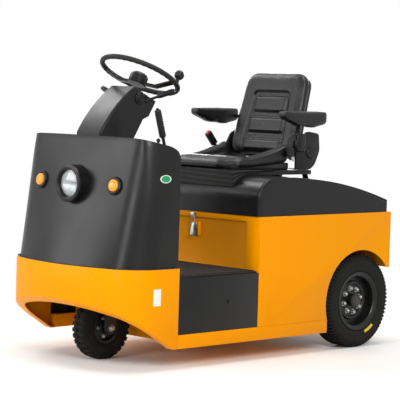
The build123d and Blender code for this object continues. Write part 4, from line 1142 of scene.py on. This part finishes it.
# %% Rear lamps
rear_dome = [(0, 0), (36, 0), (36, 9), (34, 15), (27, 19.6), (14, 21.6), (0, 22)]
rear_ring = [(36.2, 0), (41, 0), (41, 5), (39.5, 8), (36.2, 8.4)]
lenses, rings = [], []
for way in (1, -1):
    seat = (-0.868, way * 0.360, 0.600)
    lenses.append(turned(mm(rear_dome), seat, rearward, 40))
    rings.append(turned(mm(rear_ring + rear_ring[:1]), seat, rearward, 40))
fit(smooth(joined(lenses), 50), "rear_lamp_domes", "tractor", "red_lens", lens_plastics["red"], "rear_lamps")
fit(smooth(joined(rings), 35), "rear_lamp_rings", "tractor", "black_plastic", moulded_black)

# %% [markdown]
# ## Nose and hood
# The nose band is a bent strip of steel. A rubber lip closes the joint to the hood, a few domed screws hold
# it, and two plain stickers sit on band and hood. One line round the nose serves for all of them.


# %% A line round the nose, the rubber lip and the screws
band_half, band_rear_x, band_front_x = 0.45, 0.606, 0.96
band_corner_x, band_corner_y, band_corner_r = 0.7271, 0.26, 0.19
band_bow_x, band_bow_r, band_bow_turn = -0.04, 1, 18.7


def nose_line(inset, steps=12):
    """Points round the nose band, seen from above, at a distance inside its face."""
    corner = arc(band_corner_r - inset, 90, band_bow_turn, steps=steps)
    bow = arc(band_bow_r - inset, band_bow_turn, 0, steps=steps)[1:-1]
    left = [(band_rear_x, band_half - inset)] + [(band_corner_x + x, band_corner_y + y) for x, y in corner]
    left += [(band_bow_x + x, y) for x, y in bow]
    return left + [(band_front_x - inset, 0)] + [(x, -y) for x, y in reversed(left)]


lip = bent_bar([(x, y, 0.4585) for x, y in nose_line(0.0075)], 0.0045, False, 2)
fit(lip, "nose_lip", "tractor", "floor_rubber", soft_rubber)
screw_side = mm([(0, 0), (7.8, 0), (7, 1.5), (4, 2.7), (0, 3)])
heads = []
for spot, look in (
    ((0.9436, -0.180, 0.424), (0.984, -0.18, 0)), ((0.9355, 0.220, 0.434), (0.976, 0.22, 0)),
    ((0.636, 0.4499, 0.432), (0, 1, 0)), ((0.636, -0.4499, 0.432), (0, -1, 0)),
):
    heads.append(turned(screw_side, spot, look, 20))
fit(smooth(joined(heads)), "nose_screws", "tractor", "orange_paint", orange_enamel)

# %% Stickers that follow the band and the hood, and the hood's rubber stop
faces = []
for rise in (0.0004, -0.0008):
    run = [(band_corner_x + x, band_corner_y + y) for x, y in arc(band_corner_r + rise, 87, 80.5, steps=4)]
    faces.append([(0.716, band_half + rise), (band_corner_x, band_half + rise)] + run)
label = plate([(x, y, 0.297) for x, y in faces[0] + faces[1][::-1]], up * 0.075)
fit(smooth(label), "nose_label", "tractor", "orange_paint", inks["white_label"])
sticker_spot, sticker_stretch = (0.6912, 0.4505, 0.861), 1.75
sticker_look, sticker_run = (0.344, 0.937, 0.06), (0.937, -0.344, 0)
for reach, rise, name, ink in (
    (0.0180, 0.0006, "hood_sticker_border", "white_label"),
    (0.0150, 0.0010, "hood_sticker", "green_label"),
):
    oval = turned([(reach * i / 5, 0) for i in range(6)], origin, sticker_look, 48)
    oval.data.transform(Matrix.Translation(sticker_spot) @ Matrix.Scale(sticker_stretch, 4, sticker_run))
    for corner in oval.data.vertices:
        place, facing = hood.closest_point_on_mesh(corner.co)[1:3]
        corner.co = place + facing * rise
    modify(oval, "SOLIDIFY", thickness=0.0005, offset=0)
    fit(smooth(oval), name, "tractor", "black_paint", inks[ink])
stop_side = [(0, -0.004), (0.006, -0.004), (0.005, 0.006)] + arc(0.0095, -58, 90, 0, 0.0135)
stop = turned(stop_side, (0.7130, 0.4020, 1.0180), up, 24)
fit(smooth(stop, 50), "hood_knob", "tractor", "black_plastic", moulded_black)

# %% [markdown]
# ## Body
# Folded and welded sheet: no edge of it is truly sharp. The solids could be shaded as they are, but a copy
# with small round edges catches a fine line of light along every fold, so copies stand for the solids.

# %% Sheet metal and castings with broken edges
for name, width, finish, slot in (
    ("nose_band", 0.0020, orange_enamel, "orange_paint"),
    ("left_side_panel", 0.0018, orange_enamel, "orange_paint"),
    ("right_side_panel", 0.0018, orange_enamel, "orange_paint"),
    ("front_panel", 0.0022, orange_enamel, "orange_paint"),
    ("rear_panel", 0.0018, orange_enamel, "orange_paint"),
    ("chassis_frame", 0.0025, orange_enamel, "orange_paint"),
    ("step_panels", 0.0018, satin_black, "black_paint"),
    ("tow_hitch", 0.0025, cast_black, "cast_iron"),
):
    softened(name, "tractor", slot, finish, width)

# %% Ribbed floor mat
mat = [round_edges(slab((0.092, -0.438, 0.4122), (0.600, 0.438, 0.4200)), 0.002)]
rib_pitch = 0.0184
rib = round_edges(slab((0.100, -0.0045, 0.4190), (0.592, 0.0045, 0.4245)), 0.0016, 1)
for i in range(-23, 24):
    mat.append(copied(rib, Matrix.Translation((0, i * rib_pitch, 0))))
bpy.data.objects.remove(rib)
fit(smooth(joined(mat), 30), "floor_mat", "tractor", "floor_rubber", soft_rubber)

# %% The step's edge trim and its knobs
trims = []
for way in (1, -1):
    trims.append(round_edges(slab((0.0875, way * 0.4435, 0.4015), (0.6025, way * 0.4492, 0.4130)), 0.0012))
fit(smooth(joined(trims)), "step_edge_trim", "tractor", "black_plastic", moulded_black)
knobs = []
for way in (1, -1):
    side = mm([(0, 0), (13, 0), (13, 1), (10.5, 2.2), (10.5, 4.5), (8, 6), (0, 6.2)])
    knobs.append(turned(side, (0.281, way * 0.4478, 0.289), across * way, 28))
fit(smooth(joined(knobs)), "step_knobs", "tractor", "black_plastic", moulded_black)

# %% Lid beads
bead_depth, bead_back_x = 0.0045, -0.842
run = []
for i in range(25):
    x = bead_back_x + (lid_roll_x - bead_back_x) * i / 24
    run.append((x, lid_top(x) - bead_depth))
run += arc(lid_roll_r - bead_depth, 81, 0, lid_roll_x, lid_roll_z, 9) + [(0.0865, 0.690)]
beads = [bent_bar([(x, y, z) for x, z in run], 0.0036, True, 3) for y in (0.4385, -0.4385)]
fit(joined(beads), "lid_beads", "seat_lid", "black_plastic", moulded_black)

# %% Toggle latch and its guard
base = round_edges(slab((0.0768, -0.0165, 0.552), (0.0805, 0.0165, 0.616)), 0.0008)
lever = round_edges(strap([(0.0975, 0.556), (0.0945, 0.575), (0.0925, 0.600), (0.0895, 0.617)], 0.0022,
    -0.0135, 0.0135), 0.0007)
cheeks = [slab((0.079, y - 0.001, 0.584), (0.0935, y + 0.001, 0.614)) for y in (-0.0125, 0.0125)]
cheeks = [round_edges(cheek, 0.0006) for cheek in cheeks]
loop = bent_bar([(0.0905, -0.0098, 0.606), (0.0925, -0.0098, 0.660), (0.0925, 0.0098, 0.660),
    (0.0905, 0.0098, 0.606)], 0.0023, False)
hook = round_edges(strap([(0.0862, 0.640), (0.0862, 0.6665), (0.0960, 0.6665), (0.0975, 0.654)], -0.0022,
    -0.0150, 0.0150), 0.0007)
fit(smooth(joined([base, lever, loop, hook] + cheeks), 35), "toggle_latch", "tractor", "zinc_steel",
    zinc_plate, "lid_latch")
guard = round_edges(slab((0.0766, 0.0300, 0.556), (0.0900, 0.0400, 0.622)), 0.0020)
fit(guard, "latch_guard", "tractor", "orange_paint", orange_enamel)

# %% Pedal rubbers
bar_pitch, pedal_lean = 0.012, math.radians(30)
rubbers = []
for y, z in ((-0.070, 0.500), (-0.190, 0.490)):
    pad = [round_edges(slab((-0.0100, -0.034, -0.044), (-0.0060, 0.034, 0.044)), 0.0015)]
    for i in range(-3, 4):
        middle = i * bar_pitch
        bar = slab((-0.0122, -0.030, middle - 0.003), (-0.0095, 0.030, middle + 0.003))
        pad.append(round_edges(bar, 0.0010, 1))
    pad = joined(pad)
    pad.data.transform(Matrix.Translation((0.538, y, z)) @ Matrix.Rotation(pedal_lean, 4, "Y"))
    rubbers.append(pad)
fit(smooth(joined(rubbers), 35), "pedal_rubbers", "tractor", "floor_rubber", soft_rubber)

# %% [markdown]
# ## Dash, battery and hitch
# What makes the tractor work is seen from its seat, under its lid and from behind: a charge gauge with plain
# marks, a key switch and a stop button on the dash, cells with caps on the battery, bolts on the hitch plate.

# %% Charge gauge on the dash
dash_lean, dash_foot_z, dash_skin = math.radians(13.8), 0.9481, 0.0052
dash_up = Vector((-math.sin(dash_lean), 0, math.cos(dash_lean)))


def on_dash(x, y):
    """A point on the dash panel's top."""
    return Vector((x, y, dash_foot_z + dash_skin + (x - hood_rear_x) * math.tan(dash_lean)))


gauge_spot, key_spot, stop_spot = on_dash(0.665, -0.235), on_dash(0.665, -0.130), on_dash(0.665, 0.150)
bezel = [(0, -2), (36, -2), (36, 7), (34.5, 9), (31.5, 9), (30.5, 6), (30.5, 3.5), (0, 3.5)]
bezel = smooth(turned(mm(bezel), gauge_spot, dash_up, 48), 35)
fit(bezel, "gauge_ring", "tractor", "black_plastic", moulded_black)
face = turned(mm([(0, 3.4), (30.4, 3.4), (30.4, 4.2), (0, 4.2)]), gauge_spot, dash_up, 48)
fit(face, "gauge_face", "tractor", "black_plastic", inks["dial_white"])
dash_axes = Matrix.Rotation(-dash_lean, 4, "Y")
marks = []
for i in range(-4, 5):
    mark = slab((0.020, -0.0008, 0.0042), (0.0275, 0.0008, 0.0047))
    mark.data.transform(Matrix.Rotation(math.radians(i * 28), 4, "Z"))
    marks.append(mark)
hand = slab((-0.005, -0.0009, 0.0050), (0.024, 0.0009, 0.0056))
hand.data.transform(Matrix.Rotation(math.radians(-60), 4, "Z"))
marks = joined(marks + [hand])
marks.data.transform(Matrix.Translation(gauge_spot) @ dash_axes)
fit(marks, "gauge_marks", "tractor", "black_plastic", satin_black)

# %% Key switch and stop button
lock = turned(mm([(0, -2), (16, -2), (16, 4), (13, 7), (0, 7)]), key_spot, dash_up, 32)
key = round_edges(slab((-0.011, -0.0012, 0.006), (0.011, 0.0012, 0.034)), 0.0008)
key.data.transform(Matrix.Translation(key_spot) @ dash_axes)
fit(smooth(joined([lock, key])), "key_switch", "tractor", "zinc_steel", zinc_plate)
stop = [(0, 0.008), (0.008, 0.008), (0.008, 0.014)] + arc(0.020, -20, 90, 0, 0.0155)
collar = turned(mm([(0, -2), (22, -2), (22, 6), (19, 9), (0, 9)]), stop_spot, dash_up, 32)
fit(smooth(collar), "stop_collar", "tractor", "black_plastic", moulded_black)
stop = smooth(turned(stop, stop_spot, dash_up, 32), 50)
fit(stop, "stop_button", "tractor", "black_plastic", inks["red_button"])

# %% Battery cells with caps and links
cell = round_edges(slab((-0.032, -0.052, 0), (0.032, 0.052, 0.010)), 0.0030)
cap = turned(mm([(0, 9), (17, 9), (17, 14), (14, 17), (0, 17.5)]), origin, up, 20)
post = mm([(0, 9), (10, 9), (8, 19), (0, 20)])
posts = [turned(post, (0, y, 0), up, 16) for y in (-0.036, 0.036)]
cell, cap, posts = smooth(cell, 35), smooth(cap), smooth(joined(posts))
battery_top, pitch_x, pitch_y = 0.6395, 0.0705, 0.109
grid = [(-0.340 + pitch_x * i, -0.273 + pitch_y * j) for i in range(6) for j in range(6)]
for kind, name, slot, finish in (
    (cell, "battery_cells", "battery_case", moulded_black),
    (cap, "battery_caps", "battery_case", inks["white_label"]),
    (posts, "battery_posts", "zinc_steel", zinc_plate),
):
    all_of = [copied(kind, Matrix.Translation((x, y, battery_top))) for x, y in grid]
    bpy.data.objects.remove(kind)
    fit(joined(all_of), name, "tractor", slot, finish)
links = [slab((x - 0.006, y + 0.030, 0.6560), (x + 0.006, y + 0.079, 0.6590)) for x, y in grid if y < 0.25]
fit(joined(links), "battery_links", "tractor", "zinc_steel", zinc_plate)

# %% Bolts on the hitch plate and the rear panel
spots = [(-0.882, y, z) for y in (-0.105, -0.072, 0.060) for z in (0.402, 0.458)]
bolts = [nut(spot, rearward, 0.019, 0.009) for spot in spots]
fit(joined(bolts), "hitch_bolts", "tractor", "zinc_steel", zinc_plate)
spots = [(-0.868, y, z) for y in (-0.42, -0.2, 0.2, 0.42) for z in (0.415, 0.652)]
screws = [nut(spot, rearward, 0.012, 0.004) for spot in spots]
fit(joined(screws), "rear_panel_screws", "tractor", "zinc_steel", zinc_plate)
